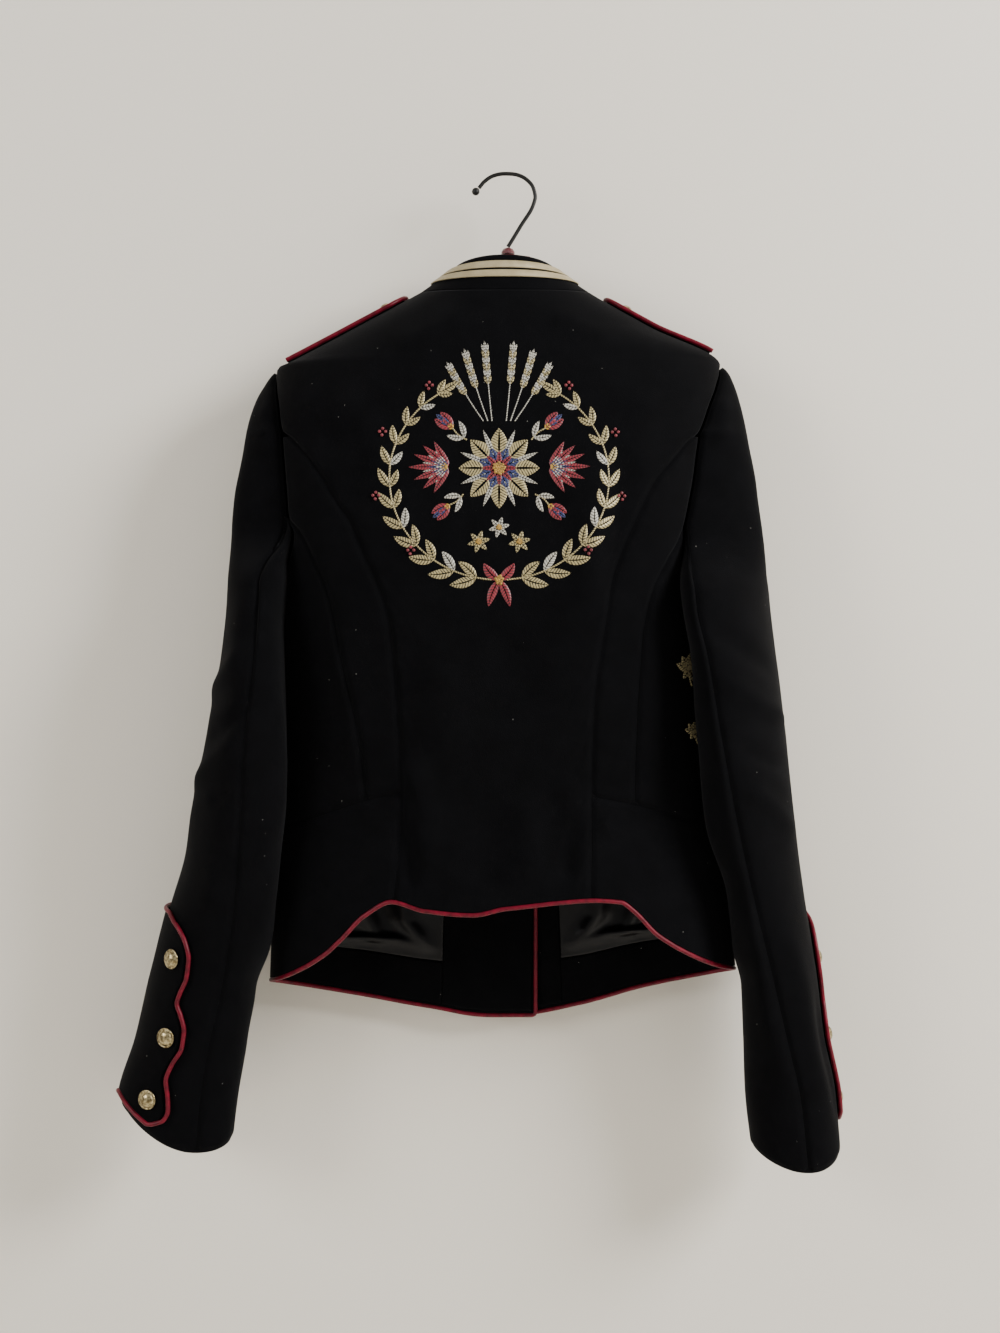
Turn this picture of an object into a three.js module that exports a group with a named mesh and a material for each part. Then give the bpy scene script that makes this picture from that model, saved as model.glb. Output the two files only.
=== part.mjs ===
// A military-style wool jacket hanging on a wooden coat hanger. Millimetres, +Z up.
// The wearer faces +Y, so the back of the jacket faces -Y, and the wearer's right is +X.
// The origin is the inside of the hook's crown, where a rail or a nail holds the hanger.
import * as THREE from "three";

// ---- cloth and trims ----
const WOOL = 2.2;             // thickness of the melton wool
const SATIN = 1.0;            // lining
const SEAM = 0.3;             // space between two pieces
const PIPING = 1.5;           // radius of the piping cord
const PIPING_SIDES = 5;
const CORD_SPACE = 2;         // from the middle of a cord to the edge it lies beside
const BRAID = 1.0;            // thickness of the collar braid

// ---- heights ----
const SHOULDER_END = { left: -176, right: -171 };
const NECK = { back: -115, side: -106, front: -152 };
const FIRST_SEAM_TOP = { left: -237, right: -239 };
const SECOND_SEAM_TOP = { left: -309, right: -318 };
const ARMPIT = { left: -354, right: -350 };

// A table has a row for each height, and is read between its rows by a curve with no overshoot.
function table(names, ...rows) {
  const columns = {};
  names.split(/\s+/).forEach((name, i) => { columns[name] = rows.map((row) => row[i]); });
  columns.slopes = {};
  for (const name of Object.keys(columns)) {
    if (name !== "slopes") columns.slopes[name] = slopes(columns.z, columns[name]);
  }
  return columns;
}

function slopes(x, y) {
  const last = x.length - 1;
  const rise = x.slice(1).map((v, i) => (y[i + 1] - y[i]) / (v - x[i]));
  return x.map((_, i) => {
    if (i === 0) return rise[0];
    if (i === last) return rise[last - 1];
    const [a, b] = [rise[i - 1], rise[i]];
    return a * b <= 0 ? 0 : (2 * a * b) / (a + b);
  });
}

function read(columns, name, z) {
  const x = columns.z;
  const y = columns[name];
  const last = x.length - 1;
  if (z >= x[0]) return y[0];
  if (z <= x[last]) return y[last];
  let i = 0;
  while (z < x[i + 1]) i += 1;
  const m = columns.slopes[name];
  const h = x[i + 1] - x[i];
  const t = (z - x[i]) / h;
  return (2 * t ** 3 - 3 * t ** 2 + 1) * y[i] + (t ** 3 - 2 * t ** 2 + t) * h * m[i]
    + (3 * t ** 2 - 2 * t ** 3) * y[i + 1] + (t ** 3 - t ** 2) * h * m[i + 1];
}

// ---- the body: a rounded section at each height ----
// left and right are the widest points, mid their depth, back and front the depths at the centre,
// and square rounds the corners: 2 is an ellipse, and more is squarer.
const BODY = table(
  "z     left  right centre mid  back  front square",
  [-100, -64, 63, -2, 0, -50, 15, 2.1],
  [-106, -75, 72, -3, 0, -53, 16, 2.1],
  [-140, -138, 132, -5, 0, -66, 19, 2.2],
  [-171, -194.7, 189.3, -7, -1, -74, 20, 2.5],
  [-176, -204, 189.5, -8, -2, -75, 20, 2.6],
  [-205, -205, 184, -11, -8, -81, 20, 3.0],
  [-234, -203, 176, -12, -13, -85, 20, 3.2],
  [-300, -197, 164, -12, -20, -91, 20, 3.2],
  [-354, -193, 153, -11, -23, -94, 20, 2.9],
  [-430, -201.5, 170, -9, -6, -92, 20, 2.6],
  [-500, -201, 177, -7, -4, -85, 20, 2.4],
  [-556, -202, 182.5, -6, -4, -80, 20, 2.3],
  [-600, -205, 190, -5, -4, -84, 21, 2.3],
  [-650, -208, 198, -4, -5, -91, 23, 2.3],
  [-715, -210, 203, -3, -6, -98, 25, 2.3],
  [-765, -212, 207, -3, -6, -102, 26, 2.3],
);
const FRONT_SQUARE = 3.2;
const TURN = 3.75;            // how far round a section runs, in radians, past the centre front
const STEPS = 90;

const SIDES = ["left", "right"];
const OTHER = { left: "right", right: "left" };
const SIGN = { left: -1, right: 1 };

function sectionPoint(row, side, angle, z) {
  const s = Math.sin(angle);
  const c = Math.cos(angle);
  const n = c > 0 ? row.square : FRONT_SQUARE;
  const q = (Math.abs(s) ** n + Math.abs(c) ** n) ** (-1 / n);
  const edge = row[s >= 0 ? side : OTHER[side]];
  const depth = c > 0 ? row.mid - row.back : row.front - row.mid;
  const x = row.centre + (edge - row.centre) * Math.abs(s) * q;
  return new THREE.Vector3(x, row.mid - depth * c * q, z);
}

const sections = new Map();
function section(side, z) {
  const key = side + z.toFixed(2);
  if (!sections.has(key)) {
    const row = {};
    for (const name of Object.keys(BODY.slopes)) row[name] = read(BODY, name, z);
    const points = [];
    const run = [0];
    for (let i = 0; i <= STEPS; i += 1) {
      points.push(sectionPoint(row, side, (i / STEPS) * TURN, z));
      if (i > 0) run.push(run[i - 1] + points[i].distanceTo(points[i - 1]));
    }
    sections.set(key, { points, run });
  }
  return sections.get(key);
}

// The point on one side of the body, at a distance round it from the centre back.
function body(side, round, z) {
  const { points, run } = section(side, z);
  let i = 0;
  while (i < STEPS - 1 && run[i + 1] < round) i += 1;
  const t = (round - run[i]) / (run[i + 1] - run[i]);
  return points[i].clone().lerp(points[i + 1], t);
}

function roundAtAngle(side, angle, z) {
  const { run } = section(side, z);
  const at = (angle / TURN) * STEPS;
  const i = Math.min(STEPS - 1, Math.floor(at));
  return run[i] + (run[i + 1] - run[i]) * (at - i);
}

const RIDGE = Math.PI / 2;

// The distance round to the place on the back, or on the front, that has this x.
function roundAtX(side, x, z, onFront = false) {
  const centre = read(BODY, "centre", z);
  const n = onFront ? FRONT_SQUARE : read(BODY, "square", z);
  const ratio = Math.min(0.99999, Math.abs(x - centre) / Math.abs(read(BODY, side, z) - centre));
  const angle = Math.atan((ratio ** n / (1 - ratio ** n)) ** (1 / n));
  return roundAtAngle(side, onFront ? Math.PI - angle : angle, z);
}

// ---- seams, each by its x at a height ----
const FIRST_SEAM = {
  left: table("z x", [-176, -204], [-190, -203.2], [-214, -199], [-234, -195.7], [-242, -186],
    [-257, -172], [-276, -158], [-298, -145], [-314, -134], [-348, -119], [-372, -108],
    [-404, -99], [-440, -95], [-519, -90], [-543, -89], [-600, -93], [-640, -97]),
  right: table("z x", [-171, 189.3], [-185, 186.5], [-214, 175.5], [-236, 166.5], [-248, 153],
    [-265, 139], [-280, 126], [-302, 114.5], [-319, 106.5], [-370, 87.5], [-399, 83],
    [-470, 73.5], [-542, 71.5], [-635, 71]),
};
// Above its own top, the second seam's line is the back edge of the armhole.
const SECOND_SEAM = {
  left: table("z x", [-234, -195.7], [-290, -190.6], [-309, -189], [-324, -177], [-348, -164.5],
    [-378, -152], [-420, -142.5], [-459, -133.5], [-492, -126.5], [-546, -121]),
  right: table("z x", [-236, 166.5], [-254, 164], [-277, 161], [-295, 157.5], [-318, 152.5],
    [-330, 148], [-345, 139], [-371, 125], [-389, 119.5], [-420, 114], [-492, 110], [-546, 109]),
};
// The front seam, which above the armpit is the front edge of the armhole.
const FRONT_SEAM = {
  left: table("z x", [-176, -204], [-205, -200], [-234, -191], [-300, -176], [-354, -150],
    [-430, -125], [-600, -112]),
  right: table("z x", [-171, 189.3], [-205, 176], [-234, 165], [-300, 148], [-350, 128],
    [-430, 108], [-600, 98]),
};
// The left front's edge laps inside the right front's.
const FRONT_EDGE = { left: 24, right: -26 };
const LAP = 4.4;
const LAP_START = -72;
const LAP_WIDTH = 42;

function firstSeam(side, z) {
  if (z > SHOULDER_END[side]) return roundAtAngle(side, RIDGE, z);
  return roundAtX(side, read(FIRST_SEAM[side], "x", z), z);
}
function secondSeam(side, z) {
  return roundAtX(side, read(SECOND_SEAM[side], "x", z), z);
}
function frontSeam(side, z) {
  if (z > SHOULDER_END[side]) return roundAtAngle(side, RIDGE, z);
  return roundAtX(side, read(FRONT_SEAM[side], "x", z), z, true);
}
function frontEdge(side, z) {
  const over = FRONT_EDGE[side] - read(BODY, "centre", z);
  return roundAtAngle(side, Math.PI, z) + Math.abs(over);
}

// ---- edges across the body, by the share of the way round from centre back to centre front ----
const WAIST = { left: [-544, -582], right: [-548, -578] };
const WAIST_LEVEL = 0.14;     // the share that is level, and the share that slopes
const WAIST_SLOPE = 0.4;
const HEM = {
  left: table("z height", [0, -639.5], [-0.055, -644.5], [-0.141, -641.5], [-0.202, -634.5],
    [-0.257, -647], [-0.302, -667], [-0.337, -681], [-0.389, -695], [-0.45, -706], [-0.55, -716],
    [-0.6, -721], [-0.75, -734], [-0.88, -745], [-1, -752], [-1.2, -752]),
  right: table("z height", [0, -639.5], [-0.032, -638], [-0.105, -634.5], [-0.164, -633],
    [-0.22, -635], [-0.246, -643], [-0.292, -664], [-0.364, -683], [-0.42, -693], [-0.492, -700.6],
    [-0.537, -704.4], [-0.62, -713], [-0.75, -726], [-0.88, -742], [-1, -751], [-1.2, -751]),
};
function ease(t) {
  const s = Math.min(1, Math.max(0, t));
  return s * s * (3 - 2 * s);
}
function share(side, round, z) {
  return round / roundAtAngle(side, Math.PI, z);
}
function waist(side, round) {
  const [back, edge] = WAIST[side];
  return back + (edge - back) * ease((share(side, round, back) - WAIST_LEVEL) / WAIST_SLOPE);
}
function hem(side, round) {
  return read(HEM[side], "height", -share(side, round, -680));
}

// ---- closed shells from a grid of points ----
const colours = {
  wool: [0x14151b, 0.95, 0], piping: [0x9c1230, 0.6, 0], braid: [0xbfae88, 0.7, 0.2],
  satin: [0x101014, 0.35, 0], button: [0xc9bd9a, 0.35, 1], wood: [0x5a2a20, 0.45, 0],
  steel: [0x15151a, 0.35, 1],
};
function finish(name) {
  const [color, roughness, metalness] = colours[name];
  return new THREE.MeshStandardMaterial({ color, roughness, metalness });
}
const jacket = new THREE.Group();
function add(name, geometry, colour) {
  const mesh = new THREE.Mesh(geometry, finish(colour));
  mesh.name = name;
  jacket.add(mesh);
  return mesh;
}

function closed(points, faces) {
  let volume = 0;
  for (const [a, b, c] of faces) volume += points[a].dot(points[b].clone().cross(points[c]));
  const turned = volume < 0 ? faces.map(([a, b, c]) => [a, c, b]) : faces;
  const geometry = new THREE.BufferGeometry().setFromPoints(points);
  geometry.setIndex(turned.flat());
  return geometry;
}

const STEP = 0.004;           // of a surface's width, to find which way it faces
const NUDGE = 0.01;           // of a surface's width, to find which way an edge runs
function normalAt(surface, u, v, du, dv) {
  const across = surface(u + du, v).sub(surface(u - du, v));
  const down = surface(u, v + dv).sub(surface(u, v - dv));
  return across.cross(down).normalize();
}

// A wall between two offsets from a surface(u, v); out is +1 or -1, towards the right side of it.
// The offsets may follow the normals of a plainer surface, leans.
function shell(columns, rows, surface, out, outer = 0, thick = WOOL, leans = surface) {
  const points = [];
  for (const offset of [outer, outer - thick]) {
    for (let j = 0; j <= rows; j += 1) {
      for (let i = 0; i <= columns; i += 1) {
        const [u, v] = [i / columns, j / rows];
        const normal = normalAt(leans, u, v, STEP, STEP);
        points.push(surface(u, v).addScaledVector(normal, out * offset));
      }
    }
  }
  const wide = columns + 1;
  const half = wide * (rows + 1);
  const faces = [];
  const quad = (a, b, c, d) => faces.push([a, b, c], [a, c, d]);
  for (let j = 0; j < rows; j += 1) {
    for (let i = 0; i < columns; i += 1) {
      const a = j * wide + i;
      quad(a, a + 1, a + wide + 1, a + wide);
      quad(half + a, half + a + wide, half + a + wide + 1, half + a + 1);
    }
  }
  for (let i = 0; i < columns; i += 1) {
    const b = rows * wide + i;
    quad(i + 1, i, half + i, half + i + 1);
    quad(b, b + 1, half + b + 1, half + b);
  }
  for (let j = 0; j < rows; j += 1) {
    const a = j * wide;
    const b = a + columns;
    quad(a, a + wide, half + a + wide, half + a);
    quad(b + wide, b, half + b, half + b + wide);
  }
  return closed(points, faces);
}

// A panel of the body between two seams. levels(u, round) lists the heights of its rows, so that
// panels that meet at a seam have the same heights there.
function along(list, v) {
  const at = v * (list.length - 1);
  const i = Math.min(list.length - 2, Math.max(0, Math.floor(at)));
  return list[i] + (list[i + 1] - list[i]) * (at - i);
}
function panelSurface(side, from, to, levels) {
  return (u, v) => {
    let z = SECOND_SEAM_TOP[side];
    const place = () => {
      const a = from(side, z) + SEAM / 2;
      return a + (to(side, z) - SEAM / 2 - a) * u;
    };
    for (let i = 0; i < 3; i += 1) z = along(levels(u, place()), v);
    return body(side, place(), z);
  };
}

// ---- body panels ----
const SHOULDER_ROWS = [-125, -148];
const UPPER_ROWS = [-190, -208, -224];
const SEAM_ROWS = [-241, -248, -257, -268, -282, -296];
const LOWER_ROWS = [0, 0.06, 0.13, 0.21, 0.3, 0.42, 0.55, 0.7, 0.85, 1];
const PEPLUM_ROWS = [0, 0.25, 0.5, 0.75, 1];
const SIDE_BACK_COLUMNS = 3;
const SIDE_COLUMNS = 8;
const BACK_PARTS = [0, 0.2, 0.4, 0.58, 0.74, 0.87, 0.95, 1];
const FRONT_PARTS = [0, 0.06, 0.17, 0.4, 0.7, 1];
const parts = (count) => Array.from({ length: count + 1 }, (_, i) => i / count);

function spread(from, to, parts) {
  return parts.map((part) => from + (to - from) * part);
}
function waistToHem(side, round) {
  return spread(waist(side, round) - SEAM / 2, hem(side, round), PEPLUM_ROWS);
}
function shoulderHeights(side, top) {
  return [top, ...SHOULDER_ROWS, SHOULDER_END[side], ...UPPER_ROWS];
}
function lowerHeights(side, round, top) {
  return spread(top, waist(side, round) + SEAM / 2, LOWER_ROWS);
}

function neckHeight(side, z, round) {
  const t = Math.min(1, round / roundAtAngle(side, RIDGE, z));
  return NECK.back + (NECK.side - NECK.back) * t ** 2 - SEAM;
}
function backHeights(side, part, round) {
  const top = neckHeight(side, NECK.side, part * roundAtAngle(side, RIDGE, NECK.side));
  return [...shoulderHeights(side, top), FIRST_SEAM_TOP[side], ...SEAM_ROWS,
    ...lowerHeights(side, round, SECOND_SEAM_TOP[side]), ...waistToHem(side, round).slice(1)];
}
function backSurface(u, v) {
  const side = u < 0.5 ? "left" : "right";
  const part = along(BACK_PARTS, Math.abs(u - 0.5) * 2);
  let z = SECOND_SEAM_TOP[side];
  const place = () => part * (firstSeam(side, z) - SEAM / 2);
  for (let i = 0; i < 3; i += 1) z = along(backHeights(side, part, place()), v);
  return body(side, place(), z);
}
const backRows = backHeights("left", 0, 0).length - 1;

function lapped(side, p) {
  if (side === "left") p.y -= LAP * ease((p.x - LAP_START) / LAP_WIDTH);
  return p;
}
// The skirt of the jacket below the waist seam, from the first back seam to the front edge.
const PEPLUM_COLUMNS = SIDE_BACK_COLUMNS + SIDE_COLUMNS + FRONT_PARTS.length - 1;
function peplum(side) {
  const stations = (z) => [
    ...spread(firstSeam(side, z) + SEAM / 2, secondSeam(side, z), parts(SIDE_BACK_COLUMNS)),
    ...spread(secondSeam(side, z), frontSeam(side, z), parts(SIDE_COLUMNS)).slice(1),
    ...spread(frontSeam(side, z), frontEdge(side, z), FRONT_PARTS).slice(1),
  ];
  return (u, v) => {
    let z = WAIST[side][1];
    const place = () => along(stations(z), u);
    for (let i = 0; i < 3; i += 1) z = along(waistToHem(side, place()), v);
    return lapped(side, body(side, place(), z));
  };
}
const BACK_COLUMNS = 2 * (BACK_PARTS.length - 1);
add("centre_back", shell(BACK_COLUMNS, backRows, backSurface, -1), "wool");

for (const side of SIDES) {
  const name = (part) => `${part}_${side}`;
  const out = -SIGN[side];
  const second = SECOND_SEAM_TOP[side];

  const sideBackHeights = (u, round) => [...SEAM_ROWS,
    ...lowerHeights(side, round, second)];
  const sideBack = panelSurface(side, firstSeam, secondSeam, sideBackHeights);
  const sideBackRows = sideBackHeights(0, 0).length - 1;
  add(name("side_back"), shell(SIDE_BACK_COLUMNS, sideBackRows, sideBack, out), "wool");

  const sideHeights = (u, round) => lowerHeights(side, round, armholeBottom(side, u));
  const sidePanel = panelSurface(side, secondSeam, frontSeam, sideHeights);
  add(name("side_panel"), shell(SIDE_COLUMNS, LOWER_ROWS.length - 1, sidePanel, out), "wool");

  const frontHeights = (u, round) => {
    const top = NECK.side + (NECK.front - NECK.side) * Math.max(0, u) ** 1.3 - SEAM;
    const upper = shoulderHeights(side, NECK.side).map((z) => {
      const t = (z - NECK.side) / (UPPER_ROWS[2] - NECK.side);
      return z + (top - NECK.side) * (1 - t);
    });
    return [...upper, -260, ...lowerHeights(side, round, armholeBottom(side, 1))];
  };
  const plain = panelSurface(side, frontSeam, frontEdge, frontHeights);
  const front = (u, v) => lapped(side, plain(along(FRONT_PARTS, u), v));
  const frontColumns = FRONT_PARTS.length - 1;
  add(name("front"), shell(frontColumns, frontHeights(0, 0).length - 1, front, out), "wool");
  add(name("peplum"), shell(PEPLUM_COLUMNS, PEPLUM_ROWS.length - 1, peplum(side), out), "wool");
}

// ---- sleeves: outer and inner silhouettes, and the back and front seams, at each height ----
const SLEEVE = {
  left: table(
    "z outX seamX seamY frontX frontY inX",
    [-176, -206, -203, -10, -203, 8, -204],
    [-187, -213, -203, -20, -203, 12, -202],
    [-206, -221.5, -200, -34, -200, 14, -198],
    [-226, -227, -197, -44, -196, 15, -195],
    [-252, -231, -195, -50, -190, 15, -193],
    [-290, -236, -192, -56, -184, 15, -183],
    [-320, -238, -198, -70, -198, 15, -188],
    [-354, -240.5, -208, -84, -215, 15, -201],
    [-400, -245, -209, -94, -221, 19, -199.5],
    [-430, -248.5, -211, -98, -226, 20, -198.5],
    [-500, -259.5, -219, -98, -235, 20, -197],
    [-556, -272, -223, -92, -242, 20, -198],
    [-600, -280, -227, -86, -247, 19, -202.5],
    [-650, -294.5, -232, -80, -255, 15, -208.5],
    [-713, -310, -243, -72, -268, 9, -222],
    [-764, -322, -255, -67, -280, 5, -228],
    [-810, -336.5, -263, -63, -289, 2, -236],
    [-855, -342, -267, -61, -295, 1, -242],
  ),
  right: table(
    "z outX seamX seamY frontX frontY inX",
    [-171, 191, 189, -8, 189, 8, 188],
    [-182, 198, 187, -20, 186, 12, 184],
    [-210, 205.6, 178, -36, 176, 14, 176],
    [-240, 211, 168, -46, 164, 15, 166],
    [-272, 215.3, 162, -54, 156, 15, 160],
    [-290, 217, 158, -57, 151, 15, 149],
    [-320, 221, 157, -72, 168, 15, 150],
    [-350, 225, 156, -86, 186, 15, 157],
    [-388, 228, 158, -94, 192, 18, 161],
    [-430, 233, 167, -97, 198, 19, 167],
    [-500, 241, 179, -96, 206, 19, 174],
    [-570, 249.7, 193, -88, 216, 19, 180],
    [-634, 258.6, 208, -80, 229, 15, 197],
    [-706, 270, 226, -74, 238, 9, 203.5],
    [-760, 276.5, 239, -69, 245, 5, 206],
    [-808, 286, 250.5, -65, 250, 2, 208],
    [-873, 291, 258, -62, 254, 1, 216],
  ),
};
// The height of the cuff's edge at the outside, the middle and the inside.
const CUFF = { left: [-820, -855, -846], right: [-858, -872, -858] };
const SLEEVE_SQUARE = 2.25;
const ARMHOLE_SPACE = 0.45;
const SLEEVE_EDGE = 0.004;    // radians left free at each long seam
const CAP_ROWS = [-181, -187, -196, -208, -224, -241, -262, -286];
const ARM_ROWS = [-332, -346, -366, -395, -430, -470, -510, -556, -600, -645, -690, -735, -780];
const UNDERARM_SPACE = 2.5;
const UNDER_ROWS = 5;         // how many rows of the under sleeve follow its curved top
const JOIN = 60;              // the sleeve takes its own section this far below the armhole
const quarter = Math.PI / 2;

function armholeBack(side, z) {
  const seam = z > FIRST_SEAM_TOP[side] ? firstSeam : secondSeam;
  return body(side, seam(side, z) + ARMHOLE_SPACE, z);
}
function armholeFront(side, z) {
  return body(side, frontSeam(side, z) - ARMHOLE_SPACE, z);
}
function armholeBottom(side, u) {
  return ARMPIT[side] + (SECOND_SEAM_TOP[side] - ARMPIT[side]) * (1 - 2 * u) ** 2;
}

function sleeve(side, angle, z) {
  const get = (name) => read(SLEEVE[side], name, z);
  const top = SECOND_SEAM_TOP[side];
  const own = ease((top - z) / JOIN);
  const seam = new THREE.Vector3(get("seamX"), get("seamY"), z);
  const front = new THREE.Vector3(get("frontX"), get("frontY"), z);
  if (own < 1) {
    seam.lerp(armholeBack(side, Math.max(z, SECOND_SEAM_TOP[side])).setZ(z), 1 - own);
    front.lerp(armholeFront(side, Math.max(z, top)).setZ(z), 1 - own);
  }
  const [s, c] = [Math.sin(angle), Math.cos(angle)];
  const q = (Math.abs(s) ** SLEEVE_SQUARE + Math.abs(c) ** SLEEVE_SQUARE) ** (-1 / SLEEVE_SQUARE);
  const middle = seam.clone().add(front).multiplyScalar(0.5);
  const bulge = get(c > 0 ? "outX" : "inX") - middle.x;
  const p = middle.clone().addScaledVector(seam.clone().sub(middle), s * q);
  p.x += bulge * Math.abs(c) * q;
  return p;
}
function cuffHeight(side, angle) {
  const [outside, middle, inside] = CUFF[side];
  const c = Math.cos(angle);
  return middle + ((c > 0 ? outside : inside) - middle) * c * c;
}

// The lower half of the armhole, from the back seam of the sleeve to its front seam.
function underarm(side, u) {
  const part = Math.min(1, Math.max(0, u));
  const z = armholeBottom(side, part) + ARMHOLE_SPACE * Math.sin(Math.PI * part);
  const a = secondSeam(side, z) + ARMHOLE_SPACE;
  const b = frontSeam(side, z) - ARMHOLE_SPACE;
  return body(side, a + (b - a) * part, z);
}

for (const side of SIDES) {
  const out = -SIGN[side];
  const span = Math.PI - 2 * SLEEVE_EDGE;
  const topSleeve = (u, v) => {
    const angle = quarter - SLEEVE_EDGE - span * u;
    const heights = [SHOULDER_END[side] - 1.5, ...CAP_ROWS, SECOND_SEAM_TOP[side], ...ARM_ROWS,
      cuffHeight(side, angle)];
    return sleeve(side, angle, along(heights, v));
  };
  const topRows = CAP_ROWS.length + ARM_ROWS.length + 2;
  add(`top_sleeve_${side}`, shell(8, topRows, topSleeve, out), "wool");

  const underHeights = (u, v) => {
    const angle = quarter + SLEEVE_EDGE + span * u;
    const start = underarm(side, u);
    start.x += SIGN[side] * UNDERARM_SPACE * Math.sin(Math.PI * Math.min(1, Math.max(0, u)));
    const rows = [SECOND_SEAM_TOP[side], ...ARM_ROWS];
    const low = rows[UNDER_ROWS];
    const upper = rows.slice(0, UNDER_ROWS).map((z) => (
      low + (start.z - low) * (z - low) / (rows[0] - low)));
    const z = along([...upper, ...rows.slice(UNDER_ROWS), cuffHeight(side, angle)], v);
    return { angle, start, z };
  };
  const underSleeve = (u, v) => {
    const { angle, start, z } = underHeights(u, v);
    const pull = start.clone().sub(sleeve(side, angle, start.z));
    return sleeve(side, angle, z).addScaledVector(pull, 1 - ease((start.z - z) / JOIN));
  };
  const plainUnder = (u, v) => {
    const { angle, z } = underHeights(u, v);
    return sleeve(side, angle, z);
  };
  add(`under_sleeve_${side}`, shell(6, ARM_ROWS.length + 1, underSleeve, -out, 0, WOOL, plainUnder), "wool");
}

// ---- collar: a stand between the neckline and a smaller ring above it ----
const COLLAR = { half: 47, centre: -2.5, back: -50, front: 13, square: 2.2, thick: 3, lift: 1.2 };
const COLLAR_TOP = { back: -83, side: -89, front: -117 };
const COLLAR_GAP = 0.02;      // the share of the front that is left open between its two ends
const BRAIDS = { upper: [0.19, 0.4], lower: [0.43, 0.64] };

// at runs from 0 at the centre back to 1 at the ridge and 2 at the centre front.
function neckline(side, at) {
  if (at < 1) {
    const z = neckHeight(side, NECK.side, at * roundAtAngle(side, RIDGE, NECK.side));
    return body(side, at * (roundAtAngle(side, RIDGE, z) - SEAM / 2), z + COLLAR.lift);
  }
  const ridge = roundAtAngle(side, RIDGE, NECK.side);
  const centre = (roundAtAngle(side, Math.PI, NECK.side) - ridge) / (frontEdge(side, NECK.side) - ridge);
  const u = (at - 1) * centre;
  const z = NECK.side + (NECK.front - NECK.side) * u ** 1.3 - SEAM;
  const from = roundAtAngle(side, RIDGE, z);
  return lapped(side, body(side, from + (frontEdge(side, z) - from) * u, z + COLLAR.lift));
}
function collarTop(side, at) {
  const angle = at * quarter;
  const [s, c] = [Math.sin(angle), Math.cos(angle)];
  const n = COLLAR.square;
  const q = (Math.abs(s) ** n + Math.abs(c) ** n) ** (-1 / n);
  const depth = c > 0 ? COLLAR.back : -COLLAR.front;
  const level = c > 0 ? COLLAR_TOP.back : COLLAR_TOP.front;
  const z = COLLAR_TOP.side + (level - COLLAR_TOP.side) * Math.abs(c) ** 1.5;
  return new THREE.Vector3(COLLAR.centre + SIGN[side] * COLLAR.half * s * q, depth * c * q, z);
}
const COLLAR_STATIONS = [...BACK_PARTS, 1.07, 1.2, 1.45, 1.75, 2 - COLLAR_GAP];
const BRAID_SPACE = 0.7;
const COLLAR_COLUMNS = 2 * (COLLAR_STATIONS.length - 1);
function collarBand(from, to) {
  return (u, v) => {
    const side = u < 0.5 ? "left" : "right";
    const at = along(COLLAR_STATIONS, Math.abs(u - 0.5) * 2);
    return collarTop(side, at).lerp(neckline(side, at), from + (to - from) * v);
  };
}
add("collar", shell(COLLAR_COLUMNS, 2, collarBand(0, 1), -1, 0, COLLAR.thick), "wool");
for (const [name, [from, to]] of Object.entries(BRAIDS)) {
  const band = collarBand(from, to);
  add(`collar_braid_${name}`, shell(COLLAR_COLUMNS, 1, band, -1, BRAID + BRAID_SPACE, BRAID), "braid");
}

// ---- small parts ----
// A round cord through a row of points, its ends cut square, with a ring of corners at each point.
class Path extends THREE.Curve {
  constructor(points) {
    super();
    this.points = points;
  }

  getPoint(t) {
    const at = t * (this.points.length - 1);
    const i = Math.min(this.points.length - 2, Math.floor(at));
    return this.points[i].clone().lerp(this.points[i + 1], at - i);
  }

  getUtoTmapping(u) {
    return u;
  }
}
function cord(points, radius = PIPING, sides = PIPING_SIDES) {
  const ring = parts(sides).slice(1).map((t) => (
    new THREE.Vector2(radius * Math.cos(t * 2 * Math.PI), radius * Math.sin(t * 2 * Math.PI))));
  const shape = new THREE.Shape(ring);
  return new THREE.ExtrudeGeometry(shape, { steps: points.length - 1, extrudePath: new Path(points) });
}

// A domed button on a surface, its back against the cloth.
const BUTTON = { radius: 8.5, edge: 1.5, height: 5, sides: 12 };
function button(name, place, normal, radius = BUTTON.radius) {
  const profile = [[0, 0], [radius * 0.9, 0], [radius, BUTTON.edge], [radius * 0.82, BUTTON.height * 0.7],
    [radius * 0.42, BUTTON.height * 0.95], [0, BUTTON.height]];
  const geometry = new THREE.LatheGeometry(profile.map(([x, y]) => new THREE.Vector2(x, y)), BUTTON.sides);
  const mesh = add(name, geometry, "button");
  mesh.position.copy(place);
  mesh.quaternion.setFromUnitVectors(new THREE.Vector3(0, 1, 0), normal);
  return mesh;
}

// ---- epaulettes: a strap across each shoulder, rounded at its inner end ----
const STRAP = {
  left: { inner: -90, outer: -193, half: 19 },
  right: { inner: 88, outer: 179, half: 19 },
};
const STRAP_ROUND = 16;
const STRAP_SPACE = 1.4;
const SMALL_BUTTON = 0.85;    // an epaulette's button, as a share of the others' size
const STRAP_STATIONS = [0, 0.02, 0.06, 0.12, 0.22, 0.4, 0.6, 0.8, 1];

function ridgeHeight(side, x) {
  let [high, low] = [-100, SHOULDER_END[side]];
  for (let i = 0; i < 24; i += 1) {
    const z = (high + low) / 2;
    if (Math.abs(read(BODY, side, z)) < Math.abs(x)) high = z; else low = z;
  }
  return (high + low) / 2;
}
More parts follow.
